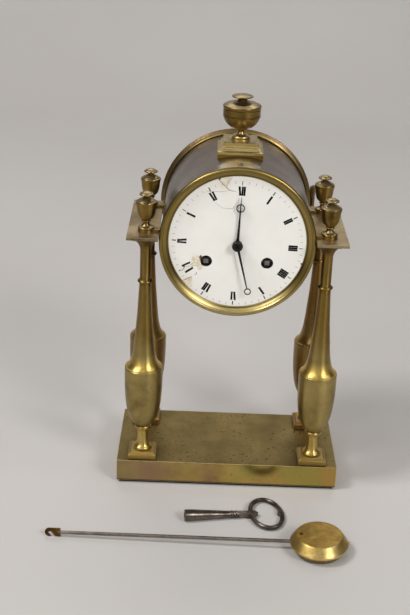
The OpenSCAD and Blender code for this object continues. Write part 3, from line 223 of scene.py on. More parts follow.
class AgedMetal(Shader):
    """Old lacquered metal: a cloudy patina, to which each call adds one trace of age or make; some calls
    also paint light and shade.
    """

    def __init__(self, name, light, middle, dark, scale):
        super().__init__(name)
        self.light = light
        self.dark = dark
        self.scale = scale
        self.metallic = 1.0
        self.cloud = self.noise(scale, 7, 0.62)
        self.colour = self.ramp(self.cloud, (NOISE_LOW, dark), (NOISE_MIDDLE, middle), (NOISE_HIGH, light))

    def lay_colour(self, share, shade):
        """Lays a colour over what there is."""
        self.colour = self.mix(share, self.colour, shade)

    def clouds(self, shade):
        """Wide clouds of another colour."""
        wide = self.noise(0.5 * self.scale, 3, 0.5)
        self.lay_colour(self.span(wide, 0.48, 0.66, 0.0, 0.7), shade)

    def band(self, rise, fall, share, shade):
        """A level band that sets in between the two heights of rise and ends between those of fall."""
        above = self.span(self.z, *rise, 0.0, share)
        below = self.span(self.z, *fall, 1.0, 0.0)
        self.lay_colour(self.maths("MULTIPLY", above, below), shade)

    def behind(self, depths, share, shade):
        """A colour at the back, which sets in between two depths."""
        self.lay_colour(self.span(self.y, *depths, 0.0, share), shade)

    def ring(self, inner, outer, share):
        """A dark ring round the drum's axis."""
        soft = 0.3 * MM
        level = self.vector("MULTIPLY", self.point, (1, 0, 1)).outputs[0]
        radius = self.distance(level, (0, 0, DRUM_Z))
        outside = self.span(radius, inner - soft, inner + soft, 0.0, share)
        inside = self.span(radius, outer + soft, outer - soft)
        self.lay_colour(self.maths("MULTIPLY", outside, inside), darkened(self.dark, 0.3))

    def patch(self, place, size, share, shade):
        """A ragged patch of colour round a place."""
        ragged = self.spread(self.noise(160, 5, 0.6), -0.2 * size, 0.2 * size)
        radius = self.maths("ADD", self.distance(self.point, place), ragged)
        self.lay_colour(self.span(radius, size, 0.6 * size, 0.0, share), shade)

    def streaks(self, share):
        """Fine streaks along x, some light and some dark."""
        fine = self.noise(260, 4, 0.6, stretch=(1, 8, 8))
        self.lay_colour(self.span(fine, 0.50, 0.66, 0.0, share), self.light)
        self.lay_colour(self.span(fine, 0.46, 0.34, 0.0, share), self.dark)

    def dust(self, shade):
        """Mottled dust on what faces up."""
        mottle = self.span(self.noise(2.2 * self.scale, 6, 0.65), 0.40, 0.60)
        settled = self.mix(mottle, darkened(shade, 0.5), shade)
        self.lay_colour(self.span(self.facing_up(), 0.35, 0.9, 0.0, 0.75), settled)

    def specks(self, share):
        """Small dark specks, in drifts."""
        small = self.span(self.noise(520, 2, 0.5), 0.66, 0.72)
        drift = self.span(self.noise(60, 2, 0.5), 0.42, 0.62)
        self.lay_colour(self.maths("MULTIPLY", self.maths("MULTIPLY", small, drift), share), SPECK)

    def corner_dirt_and_shade(self, share=0.75, reach=5 * MM):
        """Dull dirt and painted shade in the corners, found by ambient occlusion."""
        dirt = self.span(self.openness(reach), 0.15, 0.85, share, 0.0)
        self.lay_colour(dirt, darkened(self.dark, 0.25))
        self.metallic = self.span(dirt, 0.0, 1.0, 1.0, 0.2)

    def tool_marks(self, strength=0.10):
        """Faint fine relief."""
        return self.bump(self.noise(700, 5, 0.6), strength, 0.10 * MM)

    def turned(self, flat_tops=False):
        """The drawn-out sheen of lathe work round an upright axis; flat tops keep little of it."""
        sheen = TURNED_SHEEN
        if flat_tops:
            sheen = self.span(self.facing_up(), 0.5, 0.9, TURNED_SHEEN, FLAT_SHEEN)
        around = self.node("ShaderNodeTangent", direction_type="RADIAL", axis="Z").outputs[0]
        self.finish(Anisotropic=sheen, Anisotropic_Rotation=0.25, Tangent=around)

    def done(self, glossy, dull, polish=None):
        """Ends the metal: glossy where its patina is light, dull where it is dark."""
        rough = self.spread(self.cloud, dull, glossy)
        if polish is not None:
            rough = self.maths("MULTIPLY", rough, polish)
        return self.finish(Base_Color=self.colour, Metallic=self.metallic, Roughness=rough)


# Materials of the imported pieces, each named as its slot

# Dark colour of the plinth's specks, also used for the painted shade along its lower edge
PLINTH_SPECK_AND_SHADE = (0.022, 0.016, 0.008, 1)
# Colour of the dirt and painted shade in the plinth's corners
PLINTH_DIRT_AND_SHADE = (0.03, 0.022, 0.01, 1)


def plinth_brass():
    """The plinth: dull speckled top, glossier sides with brown, orange, green and violet patches, dirt and
    painted shade in its corners, painted shade along its lower edge and a painted highlight on its worn
    edges.
    """
    metal = Shader("plinth brass")
    side = metal.ramp(
        metal.noise(24, 7, 0.6),
        (0.28, srgb(134, 110, 62)),
        (0.46, srgb(176, 150, 86)),
        (0.60, srgb(194, 168, 98)),
        (0.75, srgb(158, 144, 86)),
    )
    wander = metal.spread(metal.noise(14, 3, 0.5), -30 * MM, 30 * MM)
    along = metal.maths("ADD", metal.x, wander)
    left = metal.span(along, plinth_low.x + 85 * MM, plinth_low.x + 15 * MM, 0.0, 0.65)
    right = metal.span(along, plinth_high.x - 85 * MM, plinth_high.x - 10 * MM, 0.0, 0.60)
    side = metal.mix(left, side, srgb(150, 128, 98))
    side = metal.mix(right, side, srgb(178, 136, 70))
    hue = metal.noise(19, 3, 0.5)
    side = metal.mix(metal.span(hue, 0.52, 0.64, 0.0, 0.55), side, srgb(166, 164, 84))
    side = metal.mix(metal.span(hue, 0.46, 0.36, 0.0, 0.50), side, srgb(158, 120, 104))
    top = metal.ramp(
        metal.noise(30, 7, 0.6),
        (0.30, srgb(106, 90, 51)),
        (0.52, srgb(130, 112, 66)),
        (0.72, srgb(147, 127, 80)),
    )
    is_top = metal.span(metal.facing_up(), 0.6, 0.95)
    colour = metal.mix(is_top, side, top)
    small = metal.span(metal.noise(330, 2.5, 0.5), 0.625, 0.675)
    drift = metal.span(metal.noise(36, 2, 0.5), 0.40, 0.58)
    share = metal.span(is_top, 0.0, 1.0, 0.25, 0.85)
    specks = metal.maths("MULTIPLY", metal.maths("MULTIPLY", small, drift), share)
    colour = metal.mix(specks, colour, PLINTH_SPECK_AND_SHADE)
    # Painted shade along the lower edge, over the dark gap under the plinth
    lower_edge_shade = metal.span(metal.z, plinth_low.z + 1.4 * MM, plinth_low.z + 0.7 * MM, 0.0, 0.95)
    colour = metal.mix(lower_edge_shade, colour, PLINTH_SPECK_AND_SHADE)
    # Dirt and painted shade in the corners
    dirt = metal.span(metal.openness(7 * MM), 0.2, 0.9, 0.7, 0.0)
    colour = metal.mix(dirt, colour, PLINTH_DIRT_AND_SHADE)
    waves = metal.bump(metal.noise(26, 2, 0.5), 0.35, 0.5 * MM)
    # Worn edges lightened, with a painted highlight along the top edge
    colour = metal.worn_edges_and_highlight(colour, waves, 0.8 * MM, srgb(244, 226, 172), 0.8)
    rough = metal.span(is_top, 0.0, 1.0, 0.20, 0.40)
    rough = metal.maths("ADD", rough, metal.maths("MULTIPLY", specks, 0.3))
    return metal.finish(Base_Color=colour, Metallic=1.0, Roughness=rough)


def column_brass():
    """Columns, feet and abaci: pale yellow neck, a painted highlight on the shoulder, brown stem, painted
    shade at the top under the platforms, and painted shade and warm reflection on the back columns.
    """
    metal = AgedMetal("column brass", srgb(186, 166, 106), srgb(164, 144, 90), srgb(126, 106, 60), 30)
    feet_end = (FOOT_Z - 0.6 * MM, FOOT_Z + 0.2 * MM)
    neck_end = (FOOT_Z + 20 * MM, FOOT_Z + 28 * MM)
    shoulder_start = (SHOULDER_Z, SHOULDER_Z + 1 * MM)
    shoulder_end = (SHOULDER_Z + 5 * MM, SHOULDER_Z + 15 * MM)
    metal.clouds(srgb(158, 145, 98))
    metal.band((STEM_Z, STEM_Z + 40 * MM), NO_END, 0.75, srgb(130, 101, 42))
    # Painted shade at the top of the columns, under the platforms
    metal.band((ABACUS_Z - 10 * MM, ABACUS_Z - 5 * MM), NO_END, 0.45, srgb(72, 54, 28))
    metal.band(NO_START, feet_end, 0.6, srgb(182, 148, 76))
    metal.band(feet_end, neck_end, 0.7, srgb(212, 181, 102))
    # Painted highlight on the shoulder
    metal.band(shoulder_start, shoulder_end, 0.8, srgb(232, 197, 106))
    # Painted shade and warm reflection on the back columns
    metal.behind((0, 10 * MM), 0.55, srgb(130, 92, 48))
    metal.specks(0.6)
    metal.corner_dirt_and_shade()
    metal.tool_marks(0.04)
    metal.turned()
    foot_polish = metal.span(metal.z, FOOT_Z + 18 * MM, FOOT_Z + 30 * MM, 0.88, 1.0)
    return metal.done(0.32, 0.44, foot_polish)


def urn_brass():
    """Urns, lugs and pedestal: dusty brass; the pedestal is pale, with a browner foot."""
    metal = AgedMetal("urn brass", srgb(158, 132, 74), srgb(134, 108, 55), srgb(97, 75, 36), 60)
    foot_start = (pedestal_low.z - 1 * MM, pedestal_low.z)
    foot_end = (pedestal_low.z + 4 * MM, pedestal_low.z + 5 * MM)
    pale_end = (pedestal_high.z + 6 * MM, pedestal_high.z + 8 * MM)
    metal.band(foot_end, pale_end, 1.0, srgb(208, 184, 118))
    metal.band(foot_start, foot_end, 1.0, srgb(150, 120, 54))
    metal.dust(srgb(186, 168, 128))
    metal.specks(0.4)
    metal.corner_dirt_and_shade(0.35)
    metal.tool_marks(0.04)
    metal.turned(flat_tops=True)
    return metal.done(0.30, 0.44)


def platform_brass():
    """The side platforms: worn edges with a painted highlight, and a brown patch at the outer edge of the
    left one.
    """
    metal = AgedMetal("platform brass", srgb(200, 180, 142), srgb(174, 154, 117), srgb(118, 100, 70), 34)
    metal.patch((platform_low.x, 0, platform_high.z), 24 * MM, 0.6, srgb(112, 95, 66))
    metal.specks(0.5)
    metal.corner_dirt_and_shade()
    marks = metal.tool_marks()
    metal.colour = metal.worn_edges_and_highlight(metal.colour, marks, 0.5 * MM, metal.light, 0.7)
    return metal.done(0.34, 0.50)


def drum_brass():
    """The drum: grey brown and smooth, with one pale painted reflection on top."""
    metal = AgedMetal("drum brass", srgb(140, 129, 118), srgb(126, 115, 104), srgb(108, 97, 86), 20)
    # Painted reflection: a pale patch on top of the drum
    reflection_place = (-2 * MM, drum_low.y + 6.6 * MM, drum_high.z - 0.5 * MM)
    metal.patch(reflection_place, 19 * MM, 1.0, srgb(250, 240, 222))
    metal.specks(0.3)
    return metal.done(0.26, 0.34)


def bezel_brass():
    """The bezel: darker and browner upwards as painted shade, with dark lines in its grooves and painted
    shade at its outer edge.
    """
    metal = AgedMetal("bezel brass", srgb(202, 184, 130), srgb(188, 169, 112), srgb(166, 147, 88), 34)
    # Painted shade: darker and browner upwards
    metal.band((DRUM_Z - 62 * MM, DRUM_Z - 26 * MM), NO_END, 0.75, srgb(138, 115, 50))
    metal.ring(BEZEL_R - 7.9 * MM, BEZEL_R - 6.6 * MM, 0.9)
    metal.ring(BEZEL_R - 3.7 * MM, BEZEL_R - 3.1 * MM, 0.65)
    # Painted shade and dark reflection at the outer edge
    metal.ring(BEZEL_R - 0.7 * MM, BEZEL_R + 1 * MM, 0.9)
    return metal.done(0.30, 0.40)


def rear_brass():
    """The rear ring and door: dark lines at the drum's edge and at the ring's own edge."""
    metal = AgedMetal("rear brass", srgb(146, 123, 80), srgb(128, 107, 68), srgb(106, 87, 53), 40)
    metal.ring(DRUM_R - 1 * MM, DRUM_R + 0.7 * MM, 0.8)
    metal.ring(REAR_RING_R - 0.5 * MM, REAR_RING_R + 1 * MM, 0.6)
    metal.corner_dirt_and_shade()
    metal.tool_marks()
    return metal.done(0.30, 0.42)


# Stains of the enamel: right and up of the dial's middle, size in millimetres, share and colour
STAINS = (
    (-36.0, -18.0, 8.0, 0.30, srgb(226, 206, 174)),
    (-43.0, -39.0, 7.0, 0.35, srgb(240, 214, 170)),
    (-14.0, 55.0, 8.0, 0.25, srgb(236, 214, 176)),
    (-32.4, -15.6, 3.2, 0.70, srgb(120, 100, 80)),
    (-12.0, 48.0, 7.0, 0.20, srgb(240, 224, 196)),
    (-27.3, -18.4, 7.0, 0.25, srgb(200, 180, 154)),
    (27.3, -18.4, 6.8, 0.22, srgb(210, 196, 176)),
    (0.0, -2.6, 6.2, 0.25, srgb(190, 184, 178)),
)


def dial_enamel():
    """White enamel: faint clouds, and stains round the holes, at eight and near twelve."""
    enamel = Shader("dial enamel")
    cloud = enamel.noise(30, 6, 0.6)
    colour = enamel.ramp(cloud, (NOISE_LOW, srgb(243, 240, 231)), (NOISE_HIGH, srgb(250, 248, 242)))
    ragged = enamel.noise(260, 6, 0.7)
    for right, up, size, share, shade in STAINS:
        place = (right * MM, DIAL_FRONT_Y, DRUM_Z + up * MM)
        near = enamel.span(enamel.distance(enamel.point, place), size * MM, 0.35 * size * MM)
        near = enamel.maths("MULTIPLY", near, enamel.maths("ADD", ragged, 0.25))
        colour = enamel.mix(enamel.span(near, 0.18, 0.55, 0.0, share), colour, shade)
    enamel.bump(enamel.noise(55, 3, 0.5), 0.05, 0.4 * MM)
    rough = enamel.spread(ragged, 0.14, 0.24)
    return enamel.finish(Base_Color=colour, Roughness=rough, Coat_Weight=0.5, Coat_Roughness=0.08)


def hand_steel():
    """The hands and their collet: dark steel with a little rust."""
    steel = Shader("hand steel")
    cloud = steel.noise(420, 5, 0.65)
    colour = steel.ramp(
        cloud,
        (0.32, srgb(26, 24, 23)),
        (0.55, srgb(48, 45, 43)),
        (0.75, srgb(76, 67, 60)),
    )
    steel.bump(cloud, 0.2, 0.05 * MM)
    rough = steel.spread(cloud, 0.34, 0.52)
    return steel.finish(Base_Color=colour, Metallic=0.7, Roughness=rough)


def movement_brass():
    """Plates, wheels and straps: yellow brass, darkened in its corners by dirt and painted shade, and dull
    well in front of the dial.
    """
    metal = AgedMetal("movement brass", srgb(226, 196, 118), srgb(204, 172, 98), srgb(160, 130, 70), 50)
    # Dirt and painted shade in the corners, reaching far enough to darken the view into the winding holes
    metal.corner_dirt_and_shade(0.8, 9 * MM)
    metal.tool_marks()
    dull_end = DIAL_FRONT_Y - 3 * MM
    metal.lay_colour(metal.span(metal.y, dull_end, dull_end - 0.5 * MM), srgb(46, 42, 38))
    return metal.done(0.24, 0.38)


def movement_steel():
    """Arbors, springs and other steel of the movement, darkened in its corners by dirt and painted shade.
    """
    metal = AgedMetal("movement steel", srgb(170, 168, 165), srgb(140, 137, 134), srgb(92, 88, 84), 80)
    # Dirt and painted shade in the corners, reaching far enough to darken the view into the winding holes
    metal.corner_dirt_and_shade(0.85, 12 * MM)
    metal.tool_marks()
    return metal.done(0.24, 0.40)


def fastener_steel():
    """Screws, bolts and hinge pin: dark grey steel."""
    metal = AgedMetal("fastener steel", srgb(132, 126, 118), srgb(106, 99, 92), srgb(70, 63, 56), 120)
    metal.corner_dirt_and_shade()
    metal.tool_marks()
    return metal.done(0.32, 0.48)


def bell_bronze():
    """The bell: warm bronze."""
    metal = AgedMetal("bell bronze", srgb(206, 180, 130), srgb(176, 148, 104), srgb(120, 98, 66), 40)
    metal.corner_dirt_and_shade()
    metal.tool_marks()
    return metal.done(0.24, 0.38)


def base_wood():
    """The base board: nearly black wood with its grain along x; its dark tone also paints the shade under
    the plinth.
    """
    wood = Shader("base wood")
    grain = wood.noise(60, 6, 0.65, stretch=(1, 12, 12))
    colour = wood.ramp(grain, (NOISE_LOW, srgb(14, 10, 8)), (NOISE_HIGH, srgb(36, 26, 20)))
    wood.bump(grain, 0.3, 0.2 * MM)
    return wood.finish(Base_Color=colour, Roughness=0.75)


def pendulum_steel():
    """Grey rod with rusty clouds; the flat hook at its left end is brown brass."""
    metal = Shader("pendulum steel")
    cloud = metal.noise(70, 6, 0.62)
    rod = metal.ramp(
        cloud,
        (NOISE_LOW, srgb(104, 93, 84)),
        (NOISE_MIDDLE, srgb(126, 116, 108)),
        (NOISE_HIGH, srgb(150, 142, 135)),
    )
    hook = metal.ramp(
        cloud,
        (NOISE_LOW, srgb(48, 33, 20)),
        (0.50, srgb(90, 64, 38)),
        (NOISE_HIGH, srgb(132, 98, 60)),
    )
    is_rod = metal.span(metal.x, HOOK_END_X - 0.5 * MM, HOOK_END_X + 0.5 * MM)
    metal.bump(metal.noise(700, 5, 0.6), 0.08, 0.1 * MM)
    rough = metal.spread(cloud, 0.44, 0.28)
    return metal.finish(Base_Color=metal.mix(is_rod, hook, rod), Metallic=1.0, Roughness=rough)


def bob_brass():
    """The bob: streaked and dusty on top, light on its flank as painted reflection, with painted shade
    round its lower edge and a brown patch by the rod.
    """
    # Light colours: the painted reflection of the flank; the dust below darkens the top
    metal = AgedMetal("bob brass", srgb(244, 218, 152), srgb(216, 186, 112), srgb(158, 128, 64), 60)
    by_the_rod = (bob_low.x + 9.2 * MM, (bob_low.y + bob_high.y) / 2 + 1.5 * MM, bob_high.z - 0.8 * MM)
    # Painted shade round the lower edge, near the floor
    metal.band(NO_START, (bob_low.z + 6 * MM, bob_low.z + 8 * MM), 0.9, srgb(84, 58, 26))
    metal.patch(by_the_rod, 3.6 * MM, 0.85, srgb(74, 48, 32))
    metal.streaks(0.5)
    metal.dust(srgb(170, 136, 64))
    metal.specks(0.8)
    metal.corner_dirt_and_shade(reach=3 * MM)
    metal.tool_marks(0.14)
    metal.turned(flat_tops=True)
    return metal.done(0.38, 0.50)


def key_steel():
    """The key: dark steel, worn at its left end, with a painted highlight on its collars past its middle,
    rusty between.
    """
    metal = AgedMetal("key steel", srgb(142, 132, 122), srgb(106, 97, 89), srgb(68, 58, 50), 90)
    middle = (key_low + key_high) / 2
    metal.patch((key_low.x, middle.y + 5.7 * MM, middle.z), 14 * MM, 0.6, srgb(170, 162, 152))
    metal.patch((key_low.x + 28 * MM, middle.y + 3.7 * MM, middle.z), 14 * MM, 0.55, srgb(112, 80, 64))
    # Painted highlight on the collars
    metal.patch((key_low.x + 49 * MM, middle.y + 1.7 * MM, middle.z), 10 * MM, 0.5, srgb(176, 168, 158))
    metal.corner_dirt_and_shade(0.55)
    metal.tool_marks()
    return metal.done(0.24, 0.40)


MATERIALS = (
    plinth_brass, column_brass, urn_brass, platform_brass, drum_brass, bezel_brass,
    rear_brass, dial_enamel, hand_steel, movement_brass, movement_steel, fastener_steel,
    bell_bronze, base_wood, pendulum_steel, bob_brass, key_steel,
)
finishes = {make.__name__: make() for make in MATERIALS}
slot_of = {subpart["node"]: subpart["material_slot"] for subpart in frame["record"]["subparts"]}


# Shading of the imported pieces

# Width of the rounded edges, in millimetres
EDGE_WIDTH = {
    "drum_lugs": 0.3,
    "column_feet": 0.3,
    "column_abaci": 0.25,
    "top_pedestal": 0.3,
    "front_plate": 0.15,
    "back_plate": 0.15,
    "hour_hand": 0.1,
    "minute_hand": 0.1,
    "movement_straps": 0.2,
    "base_board": 0.4,
    "drum_shell": 0.15,
    "rear_door": 0.2,
}
FLAT_FACED = (
    "base_plinth",
    "base_board",
    "side_platform_left",
    "side_platform_right",
    "column_feet",
    "column_abaci",
    "movement_straps",
)
WELD_DISTANCE = 2e-6
ROUNDED_ANGLE = math.radians(40)
SHARP_ANGLE = math.radians(33)


def dress(name, obj):
    """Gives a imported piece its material, smooth curves, sharp corners and rounded edges."""
    material = finishes[slot_of[name]]
    for slot in obj.material_slots:
        slot.material = material
    if not obj.material_slots:
        obj.data.materials.append(material)
    # The shading comes from the modifiers below, so stored normals are dropped
    if "custom_normal" in obj.data.attributes:
        obj.data.attributes.remove(obj.data.attributes["custom_normal"])
    for face in obj.data.polygons:
        face.use_smooth = name not in FLAT_FACED
    weld = obj.modifiers.new("weld", "WELD")
    weld.merge_threshold = WELD_DISTANCE
    if name in EDGE_WIDTH:
        bevel = obj.modifiers.new("bevel", "BEVEL")
        bevel.width = EDGE_WIDTH[name] * MM
        bevel.segments = 2
        bevel.limit_method = "ANGLE"
        bevel.angle_limit = ROUNDED_ANGLE
    if name in FLAT_FACED:
        return
    split = obj.modifiers.new("split", "EDGE_SPLIT")
    split.split_angle = SHARP_ANGLE
    if name in EDGE_WIDTH:
        even = obj.modifiers.new("even", "WEIGHTED_NORMAL")
        even.keep_sharp = True


for name, obj in nodes.items():
    dress(name, obj)


# Thin sheets on the dial, drawn in millimetres right and up of its middle

DIAL_EDGE = DIAL_R / MM
PRINT_LIFT = 0.03
LOSS_LIFT = 0.04
CRACK_LIFT = 0.05
CHIP_LIFT = 0.06
THIN_END = 0.35


def on_dial(x, z, lift):
    """A point a little in front of the domed dial."""
    radius = math.hypot(x, z) * MM
    y = DIAL_FRONT_Y + DIAL_DOME * (radius / DIAL_R) ** 2
    return Vector((x * MM, y - lift * MM, DRUM_Z + z * MM))


def dial_polygon(sheet, points, lift, cuts=1):
    """A polygon laid on the dial, its edges cut up so that it follows the dome."""
    corners = []
    for (ax, az), (bx, bz) in zip(points, points[1:] + points[:1]):
        for k in range(cuts):
            share = k / cuts
            corners.append(sheet.verts.new(on_dial(ax + (bx - ax) * share, az + (bz - az) * share, lift)))
    sheet.faces.new(corners)


def dial_line(sheet, points, width, lift, taper=False):
    """A thin line along points on the dial; a tapered one is widest in its middle."""
    last = len(points) - 1
    left = []
    right = []
    for i, (x, z) in enumerate(points):
        ax, az = points[max(i - 1, 0)]
        bx, bz = points[min(i + 1, last)]
        length = math.hypot(bx - ax, bz - az)
        half_width = width / 2
        if taper:
            half_width *= THIN_END + (1 - THIN_END) * math.sin(math.pi * (i + 0.5) / len(points))
        aside_x = -(bz - az) / length * half_width
        aside_z = (bx - ax) / length * half_width
        left.append(sheet.verts.new(on_dial(x + aside_x, z + aside_z, lift)))
        right.append(sheet.verts.new(on_dial(x - aside_x, z - aside_z, lift)))
    for i in range(last):
        sheet.faces.new((left[i], left[i + 1], right[i + 1], right[i]))


def jagged(points, step=0.9, swing=0.16):
    """Points along a polyline, a little off it, as a crack runs."""
    path = []
    for (ax, az), (bx, bz) in zip(points, points[1:]):
        length = math.hypot(bx - ax, bz - az)
        count = max(2, int(length / step))
        for k in range(count):
            share = k / count
            aside = random.uniform(-swing, swing) if path else 0
            x = ax + (bx - ax) * share - (bz - az) / length * aside
            z = az + (bz - az) * share + (bx - ax) / length * aside
            path.append((x, z))
    path.append(points[-1])
    return path


def piece(name, sheet, material):
    """Makes a drawn sheet a piece of the dial, with its faces to the front."""
    for face in sheet.faces:
        face.normal_update()
        if face.normal.y > 0:
            face.normal_flip()
    mesh = bpy.data.meshes.new(name)
    sheet.to_mesh(mesh)
    sheet.free()
    mesh.materials.append(material)
    obj = bpy.data.objects.new(name, mesh)
    bpy.context.scene.collection.objects.link(obj)
    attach(obj, "case")


def plain(name, low, high, rough, scale=300):
    """A dull material with a fine grain between two colours."""
    shader = Shader(name)
    grain = shader.noise(scale, 5, 0.6)
    colour = shader.ramp(grain, (NOISE_LOW, low), (NOISE_HIGH, high))
    shader.bump(grain, 0.15, 0.05 * MM)
    roughness = shader.spread(grain, rough - 0.06, rough + 0.06)
    return shader.finish(Base_Color=colour, Roughness=roughness, Specular_IOR_Level=0.2)


# Print of the dial: bold strokes in ink, hairlines worn pale

PRINT_X = 0.1
PRINT_Z = -1.6
PRINT_TURN = 1.9
NUMERAL_R = DIAL_EDGE - 12.9
NUMERAL_HALF = 4.1
NUMERALS = ("XII", "I", "II", "III", "IIII", "V", "VI", "VII", "VIII", "IX", "X", "XI")
LETTER_WIDTH = {"I": 1.82, "V": 2.8, "X": 2.8}
BOLD_WIDTH = {"I": 1.70, "V": 1.90, "X": 1.90}
HAIR_WIDTH = 0.12
SERIF_HALF = 0.05
SERIF_OVERHANG = 0.4

# Strokes of a letter: places of its upper and lower end across the letter, from its middle
BOLD_STROKE = {"I": (0.0, 0.0), "V": (-0.9, 0.2), "X": (-0.6, 0.55)}
HAIR_STROKE = {"V": (1.2, 0.2), "X": (1.1, -1.1)}

# Letters of a numeral that are worn away, counted from 0
WORN_AWAY = {"VIII": (1, 2)}

MARK_END_R = DIAL_EDGE - 4.0
MINUTE_MARK_R = DIAL_EDGE - 6.3
HOUR_MARK_R = DIAL_EDGE - 7.7
MINUTE_MARK_WIDTH = 0.38
HOUR_MARK_WIDTH = 0.6
HEAVY_MARK_WIDTH = 0.95
HEAVY_MARKS = (5, 10, 25, 30, 35, 45, 55)


def printed(angle, across, radius):
    """Where a printed point lies: degrees from twelve, then across that line and along it."""
    turn = math.radians(angle + PRINT_TURN)
    x = PRINT_X + radius * math.sin(turn) + across * math.cos(turn)
    z = PRINT_Z + radius * math.cos(turn) - across * math.sin(turn)
    return (x, z)


def stroke(sheet, angle, upper, lower, width):
    """A straight stroke of a numeral; each end is (across, up) from the numeral's middle."""
    corners = []
    for (across, up), side in ((upper, -1), (upper, 1), (lower, 1), (lower, -1)):
        corners.append(printed(angle, across + side * width / 2, NUMERAL_R + up))
    dial_polygon(sheet, corners, PRINT_LIFT, cuts=3)


def letter_stroke(sheet, angle, middle, ends, width):
    """A stroke of a letter, over the whole height of the numeral."""
    top, bottom = ends
    stroke(sheet, angle, (middle + top, NUMERAL_HALF), (middle + bottom, -NUMERAL_HALF), width)


def numeral(bold, fine, angle, text):
    """A Roman numeral, its foot towards the dial's middle; the lone I is as bold as an X."""
    width = sum(LETTER_WIDTH[sign] for sign in text)
    edge = -width / 2
    for i, sign in enumerate(text):
        middle = edge + LETTER_WIDTH[sign] / 2
        if i not in WORN_AWAY.get(text, ()):
            bold_width = BOLD_WIDTH["X" if text == "I" else sign]
            letter_stroke(bold, angle, middle, BOLD_STROKE[sign], bold_width)
        if sign in HAIR_STROKE:
            letter_stroke(fine, angle, middle, HAIR_STROKE[sign], HAIR_WIDTH)
        edge += LETTER_WIDTH[sign]
    for up in (-NUMERAL_HALF, NUMERAL_HALF):
        stroke(fine, angle, (0, up + SERIF_HALF), (0, up - SERIF_HALF), width + SERIF_OVERHANG)


def minute_mark(bold, fine, minute):
    """A mark at the dial's edge; those of the hours are longer and bold."""
    sheet, start, width = fine, MINUTE_MARK_R, MINUTE_MARK_WIDTH
    if minute % 5 == 0:
        sheet, start, width = bold, HOUR_MARK_R, HOUR_MARK_WIDTH
    if minute in HEAVY_MARKS:
        width = HEAVY_MARK_WIDTH
    angle = 6 * minute
    dial_line(sheet, [printed(angle, 0, start), printed(angle, 0, MARK_END_R)], width, PRINT_LIFT)


def add_print():
    """Numerals and minute marks."""
    bold = bmesh.new()
    fine = bmesh.new()
    for hour, text in enumerate(NUMERALS):
        numeral(bold, fine, 30 * hour, text)
    for minute in range(60):
        minute_mark(bold, fine, minute)
    ink = plain("dial ink", srgb(4, 4, 4), srgb(14, 13, 12), 0.45)
    worn_ink = plain("worn dial ink", srgb(110, 107, 103), srgb(200, 196, 190), 0.35, scale=420)
    piece("dial_numerals", bold, ink)
    piece("dial_hairlines", fine, worn_ink)


add_print()


# Damage of the enamel

# Each crack: its width, then points along it
CRACKS = (
    (0.50, [(-18.5, 57), (-15.5, 54), (-12.5, 51.5), (-9.5, 48.5), (-5, 47.5), (-3, 47)]),
    (0.38, [(-7, 60), (-8, 58.5), (-9.5, 56.5), (-11, 54.5), (-11.5, 51.5)]),
    (0.26, [(-30, 46), (-22.5, 46.5), (-17, 46.5), (-13, 47), (-9.5, 48)]),
    (0.22, [(-21.5, 36.5), (-18.5, 34.5), (-14, 32), (-9.5, 31.5), (-5.5, 32),
            (-3.5, 35), (-2, 37.5), (-0.5, 40), (0, 42.5)]),
    (0.62, [(-48.5, -38.5), (-45.5, -37), (-43, -35.5), (-40.5, -34.5), (-39, -33)]),
    (0.50, [(-37, -32), (-35.5, -31), (-35, -29)]),
    (0.50, [(-51, -28), (-48, -28), (-46, -25.5)]),
    (0.20, [(-39.5, -15), (-39, -17.5), (-37, -19.5), (-39.5, -21.5), (-42.5, -23)]),
    (0.20, [(-33.5, -27), (-35, -24), (-36.5, -22.5), (-39.5, -24), (-42.5, -25)]),
    (0.12, [(-2.5, -9.5), (1.5, -27), (1.5, -38.5)]),
)

# Outlines of the places where the enamel's top is lost
LOSSES = (
    [(-17.5, 57.5), (-15.5, 58.5), (-11, 60), (-8.5, 60), (-9.5, 57.5),
     (-11, 55), (-11.5, 52), (-13.5, 52), (-16, 54.5), (-17.5, 55.5)],
    [(-48, -38), (-44.5, -36.5), (-39.5, -34.5), (-39, -37.5),
     (-40.5, -40.5), (-42.5, -42), (-44.5, -41.5), (-46.5, -39.5)],
    [(-39.5, -15), (-36.5, -13.5), (-33.5, -14.5), (-32.5, -17.5), (-31.5, -21.5), (-29.5, -25),
     (-31, -27), (-33.5, -27), (-34.5, -23.5), (-36.5, -22.5), (-39, -24), (-42, -24.5),
     (-45.5, -26), (-48.5, -28), (-51, -28.5), (-50, -27.5), (-47.5, -26), (-45.5, -24),
     (-42, -23), (-40, -21.5), (-38.5, -20), (-37, -19.5), (-39.5, -17.5)],
)

# Outlines of the chips that go down to the metal
CHIPS = (
    [(57, -17), (60, -17.5), (59, -20), (57.5, -18.5)],
    [(-19.5, 58), (-16.5, 59.5), (-18, 56.5), (-18.5, 57)],
    [(33, 50.5), (35.5, 49), (34.5, 49.5)],
    [(41, 45.5), (43.5, 43), (42.5, 44)],
    [(-47.5, -24), (-46, -23.5), (-46, -25), (-47, -25.5)],
    [(-33.5, -15), (-32, -12.5), (-31, -13.5), (-32.5, -16)],
)


def add_cracks():
    """Dirty cracks, each thin at its ends."""
    sheet = bmesh.new()
    for width, points in CRACKS:
        dial_line(sheet, jagged(points), width, CRACK_LIFT, taper=True)
    piece("dial_cracks", sheet, plain("crack dirt", srgb(78, 56, 36), srgb(150, 122, 90), 0.7))


def add_losses():
    """Pale bare ground with a ragged outline."""
    sheet = bmesh.new()
    for points in LOSSES:
        closed = jagged(points + points[:1], step=0.7, swing=0.2)
        dial_polygon(sheet, closed[:-1], LOSS_LIFT)
    ground = plain("bare ground", srgb(214, 194, 158), srgb(247, 241, 229), 0.8, scale=420)
    piece("dial_losses", sheet, ground)


